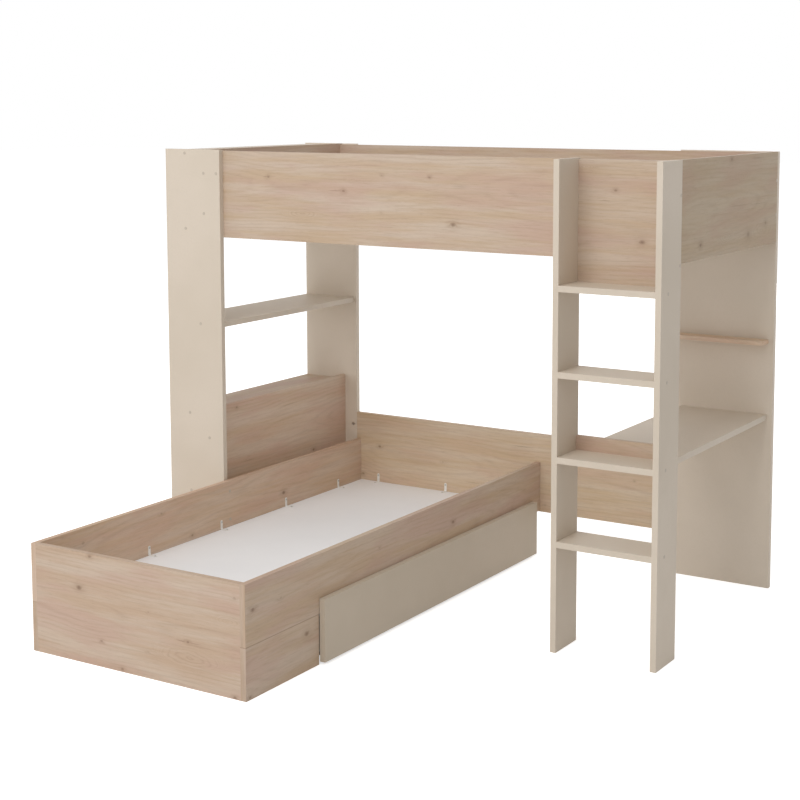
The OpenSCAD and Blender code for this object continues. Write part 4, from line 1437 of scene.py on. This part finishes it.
@dataclass(frozen=True)
class Studio:
    """Camera, lamps, world and floor."""

    eye: tuple[float, float, float] = (3.2602, -5.0313, 1.9627)
    heading: float = 31.276
    pitch: float = -6.256
    lens: float = 72.449
    sensor: float = 36.0
    shift: tuple[float, float] = (-0.0483, -0.16)
    far_clip: float = 200.0
    ambient: float = 0.53
    lamps: tuple[Softbox, ...] = (
        Softbox("top_front_softbox", (0.0, -7.0, 7.0), 5.0, 340.0),
        Softbox("left_front_softbox", (-5.0, -11.0, 3.5), 4.0, 90.0),
        Softbox("left_softbox", (-11.0, 0.0, 2.0), 7.0, 450.0),
        Softbox("rear_softbox", (0.0, 11.0, 2.0), 7.0, 400.0),
    )
    floor_reach: float = 40.0
    floor_grey: float = 0.9
    floor_glow: float = 0.62

    def build(self) -> None:
        """Makes the whole studio."""
        self._camera()
        for lamp in self.lamps:
            lamp.build()
        self._world()
        self._floor()

    def _camera(self) -> None:
        """Sets the camera at the photograph's viewpoint."""
        data = bpy.data.cameras.new("photo_camera")
        data.sensor_width, data.lens = self.sensor, self.lens
        data.shift_x, data.shift_y = self.shift
        data.clip_end = self.far_clip
        camera = bpy.data.objects.new("photo_camera", data)
        camera.location = self.eye
        camera.rotation_euler = (
            math.radians(90 + self.pitch), 0.0, math.radians(self.heading)
        )
        bpy.context.scene.collection.objects.link(camera)
        bpy.context.scene.camera = camera

    def _seen(self, graph: Graph) -> Socket:
        """Tells the rays that show a surface from those that only light it.

        Args:
            graph: the graph that asks.

        Returns:
            1 for camera, glossy and transmission rays, and 0 for the rest.
        """
        camera, glossy, through = (graph.add("LightPath", out=f"Is {kind} Ray")
                                   for kind in ("Camera", "Glossy", "Transmission"))
        either = graph.add("Math:MAXIMUM", camera, glossy)
        return graph.add("Math:MAXIMUM", either, through)

    def _world(self) -> None:
        """Makes a white world that lights the object at a plain level."""
        world = bpy.data.worlds.new("white_studio")
        graph = Graph(world)
        light = graph.add("MapRange", self._seen(graph), 0.0, 1.0, self.ambient, 1.0)
        graph.add("OutputWorld", graph.add("Background", WHITE, light))
        bpy.context.scene.world = world

    def _floor(self) -> None:
        """Lays a plain pale floor that takes the object's shadow."""
        sheet = bmesh.new()
        bmesh.ops.create_grid(sheet, x_segments=1, y_segments=1, size=self.floor_reach)
        floor = as_piece(sheet, "studio_floor")
        graph = Graph(bpy.data.materials.new("matt_floor_paint"))
        grey = (self.floor_grey, self.floor_grey, self.floor_grey, 1.0)
        matt = graph.add("BsdfDiffuse", grey)
        glow = graph.add("Emission", named={"Strength": self.floor_glow})
        bright = graph.add("AddShader", matt, glow)
        both = graph.add("MixShader", self._seen(graph), matt, bright)
        graph.add("OutputMaterial", both)
        floor.data.materials.append(graph.owner)


def main() -> None:
    """Dresses the bed, makes its finer pieces and sets up the studio."""
    logging.basicConfig(level=logging.INFO, format="%(name)s: %(message)s")
    for group in (HighBed(), Bedside(), LadderAndDesk(), LowBed(), CastorDrawer(), Joinery(),
                  Castors()):
        group.dress()
        group.build()
    Studio().build()
    bpy.context.scene.view_settings.view_transform = "Standard"
    bpy.context.view_layer.update()


if __name__ == "__main__":
    main()
